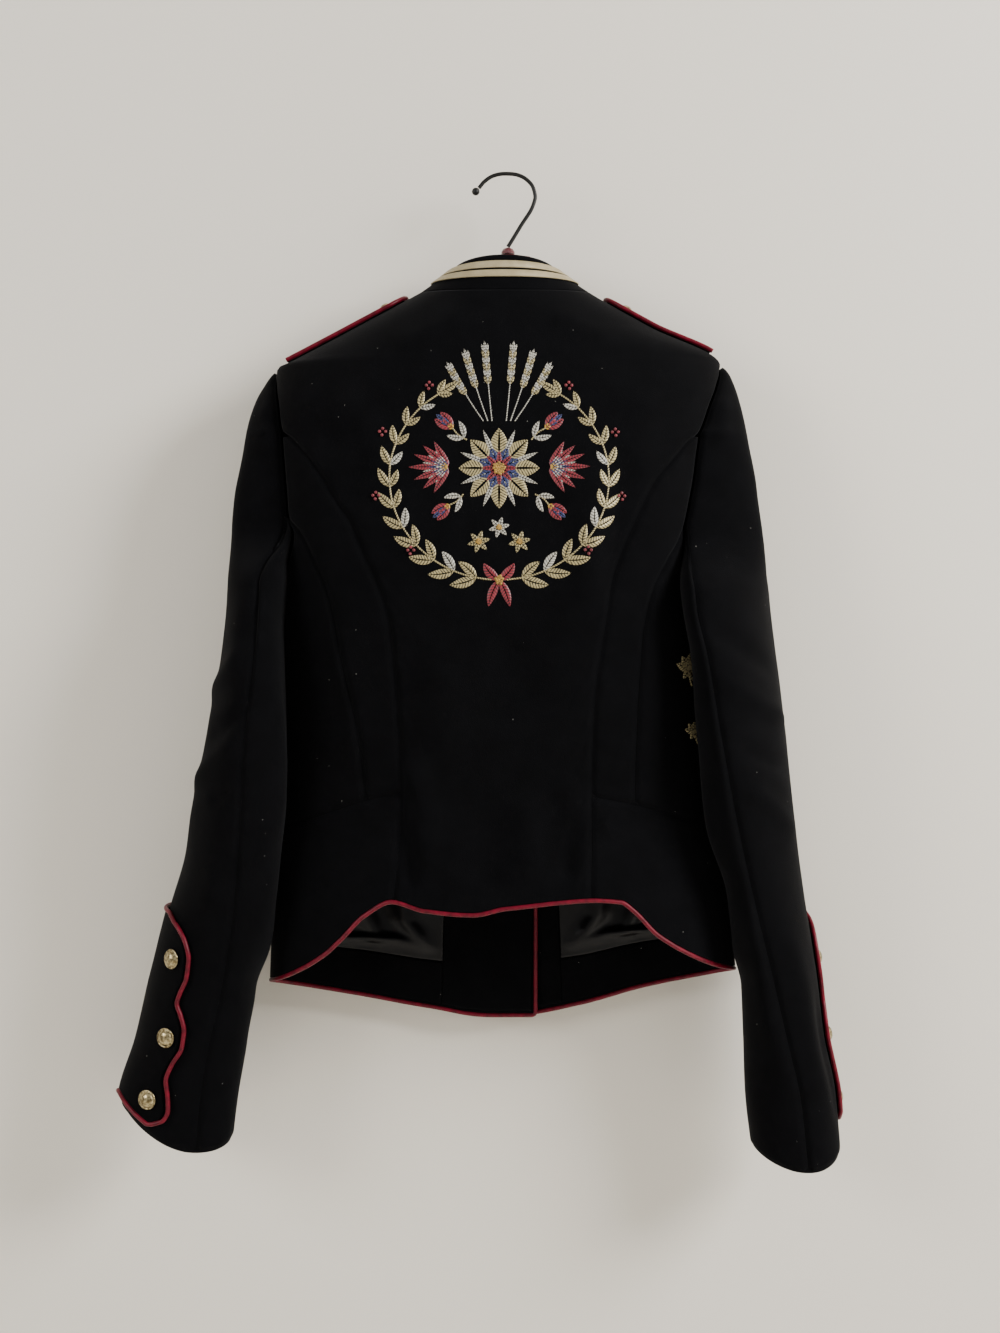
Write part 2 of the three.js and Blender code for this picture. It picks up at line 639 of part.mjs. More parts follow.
// The point at a distance from the ridge of the shoulder, down its back (-) or its front (+), at x.
function shoulder(side, x, distance) {
  const top = ridgeHeight(side, x);
  let p = body(side, roundAtAngle(side, RIDGE, top), top);
  let left = Math.abs(distance);
  for (let k = 1; ; k += 1) {
    const z = top - 0.01 * k * k;
    const next = body(side, roundAtX(side, x, z, distance > 0), z);
    const step = next.distanceTo(p);
    if (step > left) return p.lerp(next, left / step);
    left -= step;
    p = next;
  }
}
function strapHalf(side, t) {
  const { inner, outer, half } = STRAP[side];
  const round = Math.min(1, (t * Math.abs(outer - inner)) / STRAP_ROUND);
  return half * Math.sqrt(Math.max(0.04, 1 - (1 - round) ** 2));
}

for (const side of SIDES) {
  const { inner, outer, half } = STRAP[side];
  const out = -SIGN[side];
  const flat = (t, across) => shoulder(side, inner + (outer - inner) * t, across);
  const strap = (u, v) => {
    const t = along(STRAP_STATIONS, u);
    return flat(t, (v * 2 - 1) * strapHalf(side, t));
  };
  const over = STRAP_SPACE + WOOL;
  add(`epaulette_${side}`, shell(STRAP_STATIONS.length - 1, 6, strap, -out, over, WOOL), "wool");

  const lift = (t, distance) => normalAt(flat, t, distance, 0.01, 1).multiplyScalar(-out);
  const length = Math.abs(outer - inner);
  // The cord lies outside the strap's outline, which is an ellipse at the inner end.
  const beside = (t, way) => {
    const across = strapHalf(side, t);
    const back = Math.min(0, t * length - STRAP_ROUND) / STRAP_ROUND ** 2;
    const away = new THREE.Vector2(back, across / half ** 2).setLength(CORD_SPACE);
    const place = [t + away.x / length, way * (across + away.y)];
    return flat(...place).addScaledVector(lift(...place), PIPING + STRAP_SPACE);
  };
  const stations = STRAP_STATIONS.slice().reverse();
  const edge = [...stations.map((t) => beside(t, -1)), ...stations.reverse().map((t) => beside(t, 1))];
  add(`epaulette_piping_${side}`, cord(edge), "piping");

  const seat = STRAP_ROUND / length;
  const normal = lift(seat, 0);
  const place = flat(seat, 0).addScaledVector(normal, over + SEAM);
  button(`epaulette_button_${side}`, place, normal, BUTTON.radius * SMALL_BUTTON);
}

// ---- cuff slashes: a scalloped flap with three buttons on each sleeve ----
// edge is the angle of the scalloped edge round the sleeve, in degrees from its outermost line.
const SLASH = {
  left: table("z edge", [-652, 20], [-662, 38], [-673, 48], [-687, 54], [-703, 55], [-716, 52],
    [-724, 51], [-735, 57], [-748, 63], [-761, 64], [-776, 59], [-788, 57], [-801, 61],
    [-813, 63], [-822, 60], [-829, 52]),
  right: table("z edge", [-656, -38], [-666, -20], [-677, -10], [-691, -4], [-707, -3], [-720, -6],
    [-728, -7], [-739, -1], [-752, 5], [-765, 6], [-780, 1], [-792, -1], [-805, 3],
    [-817, 5], [-826, 2], [-832, -8]),
};
const SLASH_FRONT = { left: -34, right: -80 };
const SLASH_THICK = 1.6;
const SLASH_SPACE = 1.3;
const SLASH_COLUMNS = 6;
const SLEEVE_RADIUS = 30;
const CUFF_BUTTONS = {
  left: [[-688, 41], [-755, 52], [-809, 49]],
  right: [[-694, -18], [-760, -9], [-815, -11]],
};
const degree = Math.PI / 180;

for (const side of SIDES) {
  const out = -SIGN[side];
  const edges = SLASH[side];
  const rows = edges.z.length - 1;
  const lowest = edges.z[rows];
  // The lower edge of the flap keeps its distance from the edge of the cuff.
  const level = (angle, v) => {
    const corner = cuffHeight(side, edges.edge[rows] * degree);
    return along(edges.z, v) + (cuffHeight(side, angle) - corner) * v ** 3;
  };
  const onSleeve = (u, v) => {
    const from = along(edges.edge, v) * degree;
    const angle = from + (SLASH_FRONT[side] * degree - from) * u;
    return sleeve(side, angle, level(angle, v));
  };
  const over = SLASH_SPACE + SLASH_THICK;
  add(`cuff_slash_${side}`, shell(SLASH_COLUMNS, rows, onSleeve, out, over, SLASH_THICK), "wool");

  const raised = (angle, z, height) => {
    const skin = (u, v) => sleeve(side, u, v);
    const normal = normalAt(skin, angle, z, 0.02, 1).multiplyScalar(out);
    return { normal, place: skin(angle, z).addScaledVector(normal, height) };
  };
  const cordHeight = PIPING + SLASH_SPACE;
  const beside = (angle, v, aside, below) => (
    raised(angle + aside, level(angle, v) - below, cordHeight).place);
  const ends = [0.1, 0.4, 0.7, 1];
  const across = (t, v) => {
    const from = along(edges.edge, v) * degree;
    return SLASH_FRONT[side] * degree + (from - SLASH_FRONT[side] * degree) * t;
  };
  const path = [
    ...ends.map((t) => beside(across(t, 0), 0, 0, -CORD_SPACE)),
    ...parts(rows).slice(1, -1).map((v) => beside(across(1, v), v, CORD_SPACE / SLEEVE_RADIUS, 0)),
    ...ends.reverse().map((t) => beside(across(t, 1), 1, 0, CORD_SPACE)),
  ];
  add(`cuff_slash_piping_${side}`, cord(path), "piping");

  CUFF_BUTTONS[side].forEach(([z, angle], i) => {
    const { normal, place } = raised(angle * degree, z, SLASH_SPACE + SEAM + SLASH_THICK);
    button(`cuff_button_${side}_${i + 1}`, place, normal);
  });
}

// ---- piping on the hem and the front edges ----
const SIDE_COLUMN = SIDE_BACK_COLUMNS + SIDE_COLUMNS / 2;   // where the back hem's cord meets the front's

// A point beside the edge of a panel, level with the middle of its thickness. du and dv step along
// the surface, and way is the step that leaves the panel.
function besideEdge(surface, u, v, wayU, wayV, out) {
  const p = surface(u, v);
  const normal = normalAt(surface, u, v, STEP, STEP).multiplyScalar(out);
  const ahead = surface(u + wayV * NUDGE, v + wayU * NUDGE);
  const edge = ahead.sub(surface(u - wayV * NUDGE, v - wayU * NUDGE));
  const away = edge.cross(normal).normalize();
  const leave = surface(u + wayU * NUDGE, v + wayV * NUDGE).sub(p);
  if (away.dot(leave) < 0) away.negate();
  return p.addScaledVector(normal, -WOOL / 2).addScaledVector(away, CORD_SPACE);
}
const hemCord = (side, from, to) => {
  const points = [];
  for (let i = from; i <= to; i += 1) {
    points.push(besideEdge(peplum(side), i / PEPLUM_COLUMNS, 1, 0, 1, -SIGN[side]));
  }
  return points;
};
const backCord = parts(BACK_COLUMNS).slice(1, -1).map((u) => besideEdge(backSurface, u, 1, 0, 1, -1));
const backHem = [
  ...hemCord("left", 1, SIDE_COLUMN).reverse(), ...backCord, ...hemCord("right", 1, SIDE_COLUMN),
];
add("back_hem_piping", cord(backHem), "piping");

const FACING_COLUMNS = 2;     // the columns of the peplum that the front facing covers
const HEM_FACING_ROW = 0.75;
const LINING_ROW = 0.25;
const TRIM_SPACE = 0.0005;    // of the skirt's width, left at each side of a trim on its inside
const TRIM_GAP = 0.001;       // of its height, left above and below
const HEM_LEVEL = -750;       // about the height of the front corner
const CORNER_START = 5;       // the cord turns the corner this far from the edge
const CORNER_CUT = 0.8;       // share of the cord's space that the corner keeps
const CORD_OVERLAP = 0.15;    // of a step, so that the front cord starts clear of the back one
const FRONT_CORD_HEIGHTS = [-700, -650, -600, -560, -500, -430, -360, -300, -240, -200, -170];
for (const side of SIDES) {
  const name = (part) => `${part}_${side}`;
  const out = -SIGN[side];
  const skirt = peplum(side);

  const path = hemCord(side, SIDE_COLUMN, PEPLUM_COLUMNS);
  path[0].lerp(path[1], CORD_OVERLAP);
  path.splice(-1);
  const behind = new THREE.Vector3(0, -WOOL / 2, 0);
  const edgeAt = (z) => {
    const p = body(side, frontEdge(side, z) + CORD_SPACE, z);
    return lapped(side, p).add(behind);
  };
  const low = hem(side, frontEdge(side, HEM_LEVEL));
  const cut = CORD_SPACE * CORNER_CUT;
  const before = lapped(side, body(side, frontEdge(side, low) - CORNER_START, low - CORD_SPACE));
  const corner = lapped(side, body(side, frontEdge(side, low) + cut, low - cut));
  path.push(before.add(behind), corner.add(behind));
  for (const z of [low + CORNER_START, ...FRONT_CORD_HEIGHTS]) path.push(edgeAt(z));
  add(name("front_piping"), cord(path), "piping");

  // ---- what shows of the inside of the fronts, below the back hem ----
  const inside = (part, colour, from, to, top, bottom) => {
    const [a, b] = [from / PEPLUM_COLUMNS + TRIM_SPACE, to / PEPLUM_COLUMNS - TRIM_SPACE];
    const patch = (u, v) => skirt(a + (b - a) * u, top + (bottom - top) * v);
    const rows = Math.round((bottom - top) * (PEPLUM_ROWS.length - 1));
    add(name(part), shell(to - from, rows, patch, out, -WOOL - SEAM, SATIN), colour);
  };
  const facingColumn = PEPLUM_COLUMNS - FACING_COLUMNS;
  const lowest = 1 - 2 * TRIM_GAP;
  inside("front_facing", "wool", facingColumn, PEPLUM_COLUMNS, LINING_ROW, lowest);
  inside("hem_facing", "wool", SIDE_COLUMN, facingColumn, HEM_FACING_ROW + TRIM_GAP, lowest);
  inside("front_lining", "satin", SIDE_COLUMN, facingColumn, LINING_ROW, HEM_FACING_ROW - TRIM_GAP);
}

// ---- front buttons, on the right front ----
const BUTTON_INSET = 17;      // from the front edge to the middle of a button
const FRONT_BUTTONS = [-185, -245, -305, -365, -425, -485, -545];
FRONT_BUTTONS.forEach((z, i) => {
  const side = "right";
  const p = body(side, frontEdge(side, z) - BUTTON_INSET, z);
  button(`front_button_${i + 1}`, p.add(new THREE.Vector3(0, SEAM, 0)), new THREE.Vector3(0, 1, 0));
});

// ---- hanger ----
const HANGER = { thick: 12, bevel: 2, clear: 5.6 };
const ARMS = { left: [-188, -170, -140, -110, -84], right: [80, 104, 130, 146, 158] };
const ARM_DEEP = 20;
const arms = (side) => ARMS[side].map((x) => new THREE.Vector2(x, ridgeHeight(side, x) - HANGER.clear));
const crown = [[-62, -110.5], [-42, -109], [-39.5, -92], [-36, -79.5], [-20, -72.8], [0.9, -70.5],
  [20, -73], [31, -79.5], [34.5, -92], [37, -109], [57, -110.5]];
const belly = [[150, -182], [100, -152], [50, -126], [0, -112], [-50, -126], [-100, -152], [-150, -183]];
const outline = [
  ...arms("left"), ...crown.map(([x, z]) => new THREE.Vector2(x, z)), ...arms("right"),
  new THREE.Vector2(159, ridgeHeight("right", 158) - ARM_DEEP),
  ...belly.map(([x, z]) => new THREE.Vector2(x, z)),
  new THREE.Vector2(-189, ridgeHeight("left", -188) - ARM_DEEP),
];
const bar = new THREE.ExtrudeGeometry(new THREE.Shape(outline), {
  depth: HANGER.thick - 2 * HANGER.bevel, bevelEnabled: true, bevelSize: HANGER.bevel,
  bevelOffset: -HANGER.bevel, bevelThickness: HANGER.bevel, bevelSegments: 1,
});
bar.translate(0, 0, -(HANGER.thick - 2 * HANGER.bevel) / 2);
bar.rotateX(Math.PI / 2);
add("hanger_body", bar, "wood");

const NECK_X = 0.9;
const dome = [[0, -70.1], [6, -70.1], [6, -68], [4.6, -65.8], [2.6, -64.8], [0, -64.8]];
const knob = new THREE.LatheGeometry(dome.map(([r, z]) => new THREE.Vector2(r, z)), 12);
knob.rotateX(Math.PI / 2);
knob.translate(NECK_X, 0, 0);
add("hanger_knob", knob, "wood");

const smooth = (points, times) => (
  new THREE.CatmullRomCurve3(points, false, "centripetal").getPoints((points.length - 1) * times));
const WIRE = 1.75;            // radius of the hook's wire; the crown's inside is at the origin
const hook = [[0.9, -63.4], [6, -55.2], [13.2, -43.3], [21, -31.4], [24.6, -22.3], [25, -16.8],
  [22.3, -8.6], [16, -2.3], [8.7, 0.9], [0.9, 1.75], [-6.8, 1.4], [-14.1, -0.9], [-20.5, -5.5],
  [-25, -10.9]].map(([x, z]) => new THREE.Vector3(x, 0, z));
add("hanger_hook", cord(smooth(hook, 3), WIRE, 8), "steel");
const TIP = 3.6;
const tip = new THREE.SphereGeometry(TIP, 10, 7);
tip.translate(-27.9, 0, -14.1);
add("hanger_hook_tip", tip, "steel");

export default jacket;
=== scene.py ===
# A military-style wool jacket on a wooden coat hanger: melton cloth with satin-weave piping,
# metallic collar braid, gilt buttons and satin-stitch embroidery on the back.
# Sizes are in millimetres until a mesh is made. The back faces -Y, and the wearer's right is +X.
import math

import bpy
import numpy as np
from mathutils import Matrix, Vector


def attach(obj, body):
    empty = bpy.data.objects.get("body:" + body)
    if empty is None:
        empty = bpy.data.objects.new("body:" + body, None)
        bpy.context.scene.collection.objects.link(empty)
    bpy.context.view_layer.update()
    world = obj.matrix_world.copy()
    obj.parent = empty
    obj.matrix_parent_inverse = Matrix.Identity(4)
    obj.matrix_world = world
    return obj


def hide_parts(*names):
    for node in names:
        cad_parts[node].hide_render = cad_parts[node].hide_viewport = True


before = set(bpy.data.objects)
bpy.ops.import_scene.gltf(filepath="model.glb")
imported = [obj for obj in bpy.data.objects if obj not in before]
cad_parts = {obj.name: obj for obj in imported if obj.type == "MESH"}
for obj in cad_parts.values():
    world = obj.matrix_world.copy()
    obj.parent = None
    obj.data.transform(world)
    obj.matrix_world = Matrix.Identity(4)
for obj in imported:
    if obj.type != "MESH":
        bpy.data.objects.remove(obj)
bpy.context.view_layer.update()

MM = 0.001
WOOL = 2.2                # thickness of the melton
SATIN = 0.8               # thickness of the lining
PIPING = 1.9              # radius of the piping cord
CORD_SPACE = 2.0          # from the middle of a cord to the edge that it lies beside
SIDES = ("left", "right")
OTHER = {"left": "right", "right": "left"}
SIGN = {"left": -1, "right": 1}
QUARTER = math.pi / 2
RIDGE = QUARTER           # the ridge of the shoulder, by its angle from the centre back
DEGREE = math.pi / 180


# ---- tables, read by height along a curve with no overshoot ----
def slopes(x, y):
    rise = np.diff(y) / np.diff(x)
    both = rise[:-1] + rise[1:]
    same = rise[:-1] * rise[1:] > 0
    inner = np.where(same, 2 * rise[:-1] * rise[1:] / np.where(both == 0, 1, both), 0)
    return np.concatenate([rise[:1], inner, rise[-1:]])


def table(names, *rows):
    columns = {name: np.array(column, float) for name, column in zip(names.split(), zip(*rows))}
    return {name: (columns["z"], y, slopes(columns["z"], y)) for name, y in columns.items()}


def read(columns, name, z):
    x, y, m = columns[name]
    z = np.clip(np.asarray(z, float), x[-1], x[0])
    i = np.clip(np.searchsorted(-x, -z, side="right") - 1, 0, len(x) - 2)
    h = x[i + 1] - x[i]
    t = (z - x[i]) / h
    return ((2 * t ** 3 - 3 * t ** 2 + 1) * y[i] + (t ** 3 - 2 * t ** 2 + t) * h * m[i]
            + (3 * t ** 2 - 2 * t ** 3) * y[i + 1] + (t ** 3 - t ** 2) * h * m[i + 1])


def ease(t):
    s = np.clip(t, 0, 1)
    return s * s * (3 - 2 * s)


def vector(x, y, z):
    return np.stack(np.broadcast_arrays(x, y, z), axis=-1).astype(float)


# How far out a rounded square lies in the direction of a sine and a cosine.
def reach_of(s, c, n):
    return (np.abs(s) ** n + np.abs(c) ** n) ** (-1 / n)


# ---- the body: a rounded section at each height ----
BODY = table(
    "z     left  right centre mid  back  front square",
    (-100, -64, 63, -2, 0, -50, 15, 2.1),
    (-106, -75, 72, -3, 0, -53, 16, 2.1),
    (-140, -138, 132, -5, 0, -66, 19, 2.2),
    (-171, -194.7, 189.3, -7, -1, -74, 20, 2.5),
    (-176, -204, 189.5, -8, -2, -75, 20, 2.6),
    (-205, -205, 184, -11, -8, -81, 20, 3.0),
    (-234, -203, 176, -12, -13, -85, 20, 3.2),
    (-300, -197, 164, -12, -20, -91, 20, 3.2),
    (-354, -193, 153, -11, -23, -94, 20, 2.9),
    (-430, -201.5, 170, -9, -6, -92, 20, 2.6),
    (-500, -201, 177, -7, -4, -85, 20, 2.4),
    (-556, -202, 182.5, -6, -4, -80, 20, 2.3),
    (-600, -205, 190, -5, -4, -84, 21, 2.3),
    (-650, -208, 198, -4, -5, -91, 23, 2.3),
    (-715, -210, 203, -3, -6, -98, 25, 2.3),
    (-765, -212, 207, -3, -6, -102, 26, 2.3),
)
FRONT_SQUARE = 3.2
SHOULDER_END = {"left": -176, "right": -171}
NECK = {"back": -115, "side": -106, "front": -152}
FIRST_SEAM_TOP = {"left": -237, "right": -239}
SECOND_SEAM_TOP = {"left": -309, "right": -318}
ARMPIT = {"left": -354, "right": -350}
TURN = 3.75               # how far round a section runs, in radians, past the centre front
STEPS = 90
LEVEL_STEP = 3.0
LEVELS = np.arange(-90.0, -800.0, -LEVEL_STEP)      # from above the neck to below the hem
NEARLY_ALL = 0.99999      # keeps a place by its x inside the section


def section_point(side, angle, z):
    s, c = np.sin(angle), np.cos(angle)
    n = np.where(c > 0, read(BODY, "square", z), FRONT_SQUARE)
    q = reach_of(s, c, n)
    centre, mid = read(BODY, "centre", z), read(BODY, "mid", z)
    edge = np.where(s >= 0, read(BODY, side, z), read(BODY, OTHER[side], z))
    depth = np.where(c > 0, mid - read(BODY, "back", z), read(BODY, "front", z) - mid)
    return vector(centre + (edge - centre) * np.abs(s) * q, mid - depth * c * q, z)


def runs(side):
    angle, z = np.meshgrid(np.linspace(0, TURN, STEPS + 1), LEVELS)
    steps = np.linalg.norm(np.diff(section_point(side, angle, z), axis=1), axis=2)
    return np.hstack([np.zeros((len(LEVELS), 1)), np.cumsum(steps, axis=1)])


RUNS = {side: runs(side) for side in SIDES}


def runs_at(side, z):
    at = np.clip((LEVELS[0] - z) / LEVEL_STEP, 0, len(LEVELS) - 1.001)
    i = at.astype(int)
    t = (at - i)[..., None]
    return RUNS[side][i] * (1 - t) + RUNS[side][i + 1] * t


def pick(rows, i):
    return np.take_along_axis(rows, i[..., None], axis=-1)[..., 0]


# The point on one side of the body, at a distance round it from the centre back.
def body(side, distance, z):
    distance, z = np.broadcast_arrays(np.asarray(distance, float), np.asarray(z, float))
    rows = runs_at(side, z)
    i = np.clip((rows <= distance[..., None]).sum(axis=-1) - 1, 0, STEPS - 1)
    a, b = pick(rows, i), pick(rows, i + 1)
    return section_point(side, (i + (distance - a) / (b - a)) * TURN / STEPS, z)


def round_at_angle(side, angle, z):
    angle, z = np.broadcast_arrays(np.asarray(angle, float), np.asarray(z, float))
    rows = runs_at(side, z)
    at = np.clip(angle / TURN * STEPS, 0, STEPS - 0.001)
    i = at.astype(int)
    a, b = pick(rows, i), pick(rows, i + 1)
    return a + (b - a) * (at - i)


def round_at_x(side, x, z, on_front=False):
    centre = read(BODY, "centre", z)
    n = FRONT_SQUARE if on_front else read(BODY, "square", z)
    ratio = np.clip(np.abs(x - centre) / np.abs(read(BODY, side, z) - centre), 0, NEARLY_ALL)
    angle = np.arctan((ratio ** n / (1 - ratio ** n)) ** (1 / n))
    return round_at_angle(side, math.pi - angle if on_front else angle, z)


# ---- seams, each by its x at a height ----
FIRST_SEAM = {
    "left": table("z x", (-176, -204), (-190, -203.2), (-214, -199), (-234, -195.7), (-242, -186),
                  (-257, -172), (-276, -158), (-298, -145), (-314, -134), (-348, -119),
                  (-372, -108), (-404, -99), (-440, -95), (-519, -90), (-543, -89), (-600, -93),
                  (-640, -97)),
    "right": table("z x", (-171, 189.3), (-185, 186.5), (-214, 175.5), (-236, 166.5), (-248, 153),
                   (-265, 139), (-280, 126), (-302, 114.5), (-319, 106.5), (-370, 87.5),
                   (-399, 83), (-470, 73.5), (-542, 71.5), (-635, 71)),
}
# Above its own top, the second seam's line is the back edge of the armhole.
SECOND_SEAM = {
    "left": table("z x", (-234, -195.7), (-290, -190.6), (-309, -189), (-324, -177),
                  (-348, -164.5), (-378, -152), (-420, -142.5), (-459, -133.5), (-492, -126.5),
                  (-546, -121)),
    "right": table("z x", (-236, 166.5), (-254, 164), (-277, 161), (-295, 157.5), (-318, 152.5),
                   (-330, 148), (-345, 139), (-371, 125), (-389, 119.5), (-420, 114), (-492, 110),
                   (-546, 109)),
}
FRONT_SEAM = {
    "left": table("z x", (-176, -204), (-205, -200), (-234, -191), (-300, -176), (-354, -150),
                  (-430, -125), (-600, -112)),
    "right": table("z x", (-171, 189.3), (-205, 176), (-234, 165), (-300, 148), (-350, 128),
                   (-430, 108), (-600, 98)),
}
FRONT_EDGE = {"left": 24, "right": -26}
LAP, LAP_START, LAP_WIDTH = 4.4, -72, 42


def first_seam(side, z):
    seam = round_at_x(side, read(FIRST_SEAM[side], "x", z), z)
    return np.where(z > SHOULDER_END[side], round_at_angle(side, RIDGE, z), seam)


def second_seam(side, z):
    return round_at_x(side, read(SECOND_SEAM[side], "x", z), z)


def front_seam(side, z):
    seam = round_at_x(side, read(FRONT_SEAM[side], "x", z), z, on_front=True)
    return np.where(z > SHOULDER_END[side], round_at_angle(side, RIDGE, z), seam)


def front_edge(side, z):
    return round_at_angle(side, math.pi, z) + np.abs(FRONT_EDGE[side] - read(BODY, "centre", z))


# ---- edges across the body, by the share of the way round from centre back to centre front ----
WAIST = {"left": (-544, -582), "right": (-548, -578)}
WAIST_LEVEL, WAIST_SLOPE = 0.14, 0.4
HEM_GIRTH = -680.0        # the height whose way round the hem's shares are of
HEM = {
    "left": table("z height", (0, -639.5), (-0.055, -644.5), (-0.141, -641.5), (-0.202, -634.5),
                  (-0.257, -647), (-0.302, -667), (-0.337, -681), (-0.389, -695), (-0.45, -706),
                  (-0.55, -716), (-0.6, -721), (-0.75, -734), (-0.88, -745), (-1, -752),
                  (-1.2, -752)),
    "right": table("z height", (0, -639.5), (-0.032, -638), (-0.105, -634.5), (-0.164, -633),
                   (-0.22, -635), (-0.246, -643), (-0.292, -664), (-0.364, -683), (-0.42, -693),
                   (-0.492, -700.6), (-0.537, -704.4), (-0.62, -713), (-0.75, -726), (-0.88, -742),
                   (-1, -751), (-1.2, -751)),
}


def waist(side, distance):
    back, edge = WAIST[side]
    share = distance / round_at_angle(side, math.pi, back)
    return back + (edge - back) * ease((share - WAIST_LEVEL) / WAIST_SLOPE)


def hem(side, distance):
    return read(HEM[side], "height", -distance / round_at_angle(side, math.pi, HEM_GIRTH))


def lapped(side, p):
    if side == "left":
        p[..., 1] -= LAP * ease((p[..., 0] - LAP_START) / LAP_WIDTH)
    return p


MIDDLE, ROUNDS = -400.0, 4    # where a panel's heights start, and how often they are worked out
SIDE_BACK_TOP = -241.0
NECK_CURVE = 1.3


# A panel of the body between two seams, from its top edge to its bottom edge. A seam's place and
# its height need each other, so they are worked out in turn.
def panel(side, start, end, top, bottom):
    def surface(u, v):
        z = np.full(np.broadcast(u, v).shape, MIDDLE)
        for _ in range(ROUNDS):
            a = start(side, z)
            place = a + (end(side, z) - a) * u
            z = top(u, place) + (bottom(place) - top(u, place)) * v
        return body(side, place, z)
    return surface


def neck_height(side, distance):
    t = np.minimum(1, np.abs(distance) / round_at_angle(side, RIDGE, NECK["side"]))
    return NECK["back"] + (NECK["side"] - NECK["back"]) * t ** 2


def armhole_bottom(side, u):
    return ARMPIT[side] + (SECOND_SEAM_TOP[side] - ARMPIT[side]) * (1 - 2 * u) ** 2


def centre_back(side):
    nothing = lambda side, z: np.zeros_like(z)
    top = lambda u, place: neck_height(side, u * round_at_angle(side, RIDGE, NECK["side"]))
    return panel(side, nothing, first_seam, top, lambda place: hem(side, place))


def side_back(side):
    top = lambda u, place: np.full_like(place, SIDE_BACK_TOP)
    return panel(side, first_seam, second_seam, top, lambda place: waist(side, place))


def side_panel(side):
    top = lambda u, place: armhole_bottom(side, u)
    return panel(side, second_seam, front_seam, top, lambda place: waist(side, place))


def front(side):
    drop = NECK["front"] - NECK["side"]
    top = lambda u, place: NECK["side"] + drop * np.maximum(0, u) ** NECK_CURVE
    surface = panel(side, front_seam, front_edge, top, lambda place: waist(side, place))
    return lambda u, v: lapped(side, surface(u, v))


def peplum(side):
    top = lambda u, place: waist(side, place)
    surface = panel(side, first_seam, front_edge, top, lambda place: hem(side, place))
    return lambda u, v: lapped(side, surface(u, v))


# ---- sleeves ----
SLEEVE = {
    "left": table(
        "z outX seamX seamY frontX frontY inX",
        (-176, -206, -203, -10, -203, 8, -204), (-187, -213, -203, -20, -203, 12, -202),
        (-206, -221.5, -200, -34, -200, 14, -198), (-226, -227, -197, -44, -196, 15, -195),
        (-252, -231, -195, -50, -190, 15, -193), (-290, -236, -192, -56, -184, 15, -183),
        (-320, -238, -198, -70, -198, 15, -188), (-354, -240.5, -208, -84, -215, 15, -201),
        (-400, -245, -209, -94, -221, 19, -199.5), (-430, -248.5, -211, -98, -226, 20, -198.5),
        (-500, -259.5, -219, -98, -235, 20, -197), (-556, -272, -223, -92, -242, 20, -198),
        (-600, -280, -227, -86, -247, 19, -202.5), (-650, -294.5, -232, -80, -255, 15, -208.5),
        (-713, -310, -243, -72, -268, 9, -222), (-764, -322, -255, -67, -280, 5, -228),
        (-810, -336.5, -263, -63, -289, 2, -236), (-855, -342, -267, -61, -295, 1, -242)),
    "right": table(
        "z outX seamX seamY frontX frontY inX",
        (-171, 191, 189, -8, 189, 8, 188), (-182, 198, 187, -20, 186, 12, 184),
        (-210, 205.6, 178, -36, 176, 14, 176), (-240, 211, 168, -46, 164, 15, 166),
        (-272, 215.3, 162, -54, 156, 15, 160), (-290, 217, 158, -57, 151, 15, 149),
        (-320, 221, 157, -72, 168, 15, 150), (-350, 225, 156, -86, 186, 15, 157),
        (-388, 228, 158, -94, 192, 18, 161), (-430, 233, 167, -97, 198, 19, 167),
        (-500, 241, 179, -96, 206, 19, 174), (-570, 249.7, 193, -88, 216, 19, 180),
        (-634, 258.6, 208, -80, 229, 15, 197), (-706, 270, 226, -74, 238, 9, 203.5),
        (-760, 276.5, 239, -69, 245, 5, 206), (-808, 286, 250.5, -65, 250, 2, 208),
        (-873, 291, 258, -62, 254, 1, 216)),
}
CUFF = {"left": (-820, -855, -846), "right": (-858, -872, -858)}
SLEEVE_SQUARE = 2.25
ARMHOLE_SPACE = 0.2
UNDERARM_SPACE = 2.5
JOIN = 60                 # the sleeve takes its own section this far below the armhole
CROWN = 1.5               # from the end of the shoulder down to the sleeve's top


def sleeve(side, angle, z):
    angle, z = np.broadcast_arrays(np.asarray(angle, float), np.asarray(z, float))
    get = lambda name: read(SLEEVE[side], name, z)
    own = ease((SECOND_SEAM_TOP[side] - z) / JOIN)[..., None]
    high = np.maximum(z, SECOND_SEAM_TOP[side])
    upper = np.where(high > FIRST_SEAM_TOP[side], first_seam(side, high), second_seam(side, high))
    lower = front_seam(side, high)
    back_point = vector(get("seamX"), get("seamY"), z)
    fore_point = vector(get("frontX"), get("frontY"), z)
    seam = body(side, upper + ARMHOLE_SPACE, high) * (1 - own) + own * back_point
    fore = body(side, lower - ARMHOLE_SPACE, high) * (1 - own) + own * fore_point
    s, c = np.sin(angle), np.cos(angle)
    q = reach_of(s, c, SLEEVE_SQUARE)
    middle = (seam + fore) / 2
    p = middle + (seam - middle) * (s * q)[..., None]
    p[..., 0] += (np.where(c > 0, get("outX"), get("inX")) - middle[..., 0]) * np.abs(c) * q
    p[..., 2] = z
    return p


def cuff_height(side, angle):
    outside, middle, inside = CUFF[side]
    c = np.cos(angle)
    return middle + (np.where(c > 0, outside, inside) - middle) * c * c


def top_sleeve(side):
    def surface(u, v):
        angle = QUARTER - math.pi * u
        top = SHOULDER_END[side] - CROWN
        return sleeve(side, angle, top + (cuff_height(side, angle) - top) * v)
    return surface


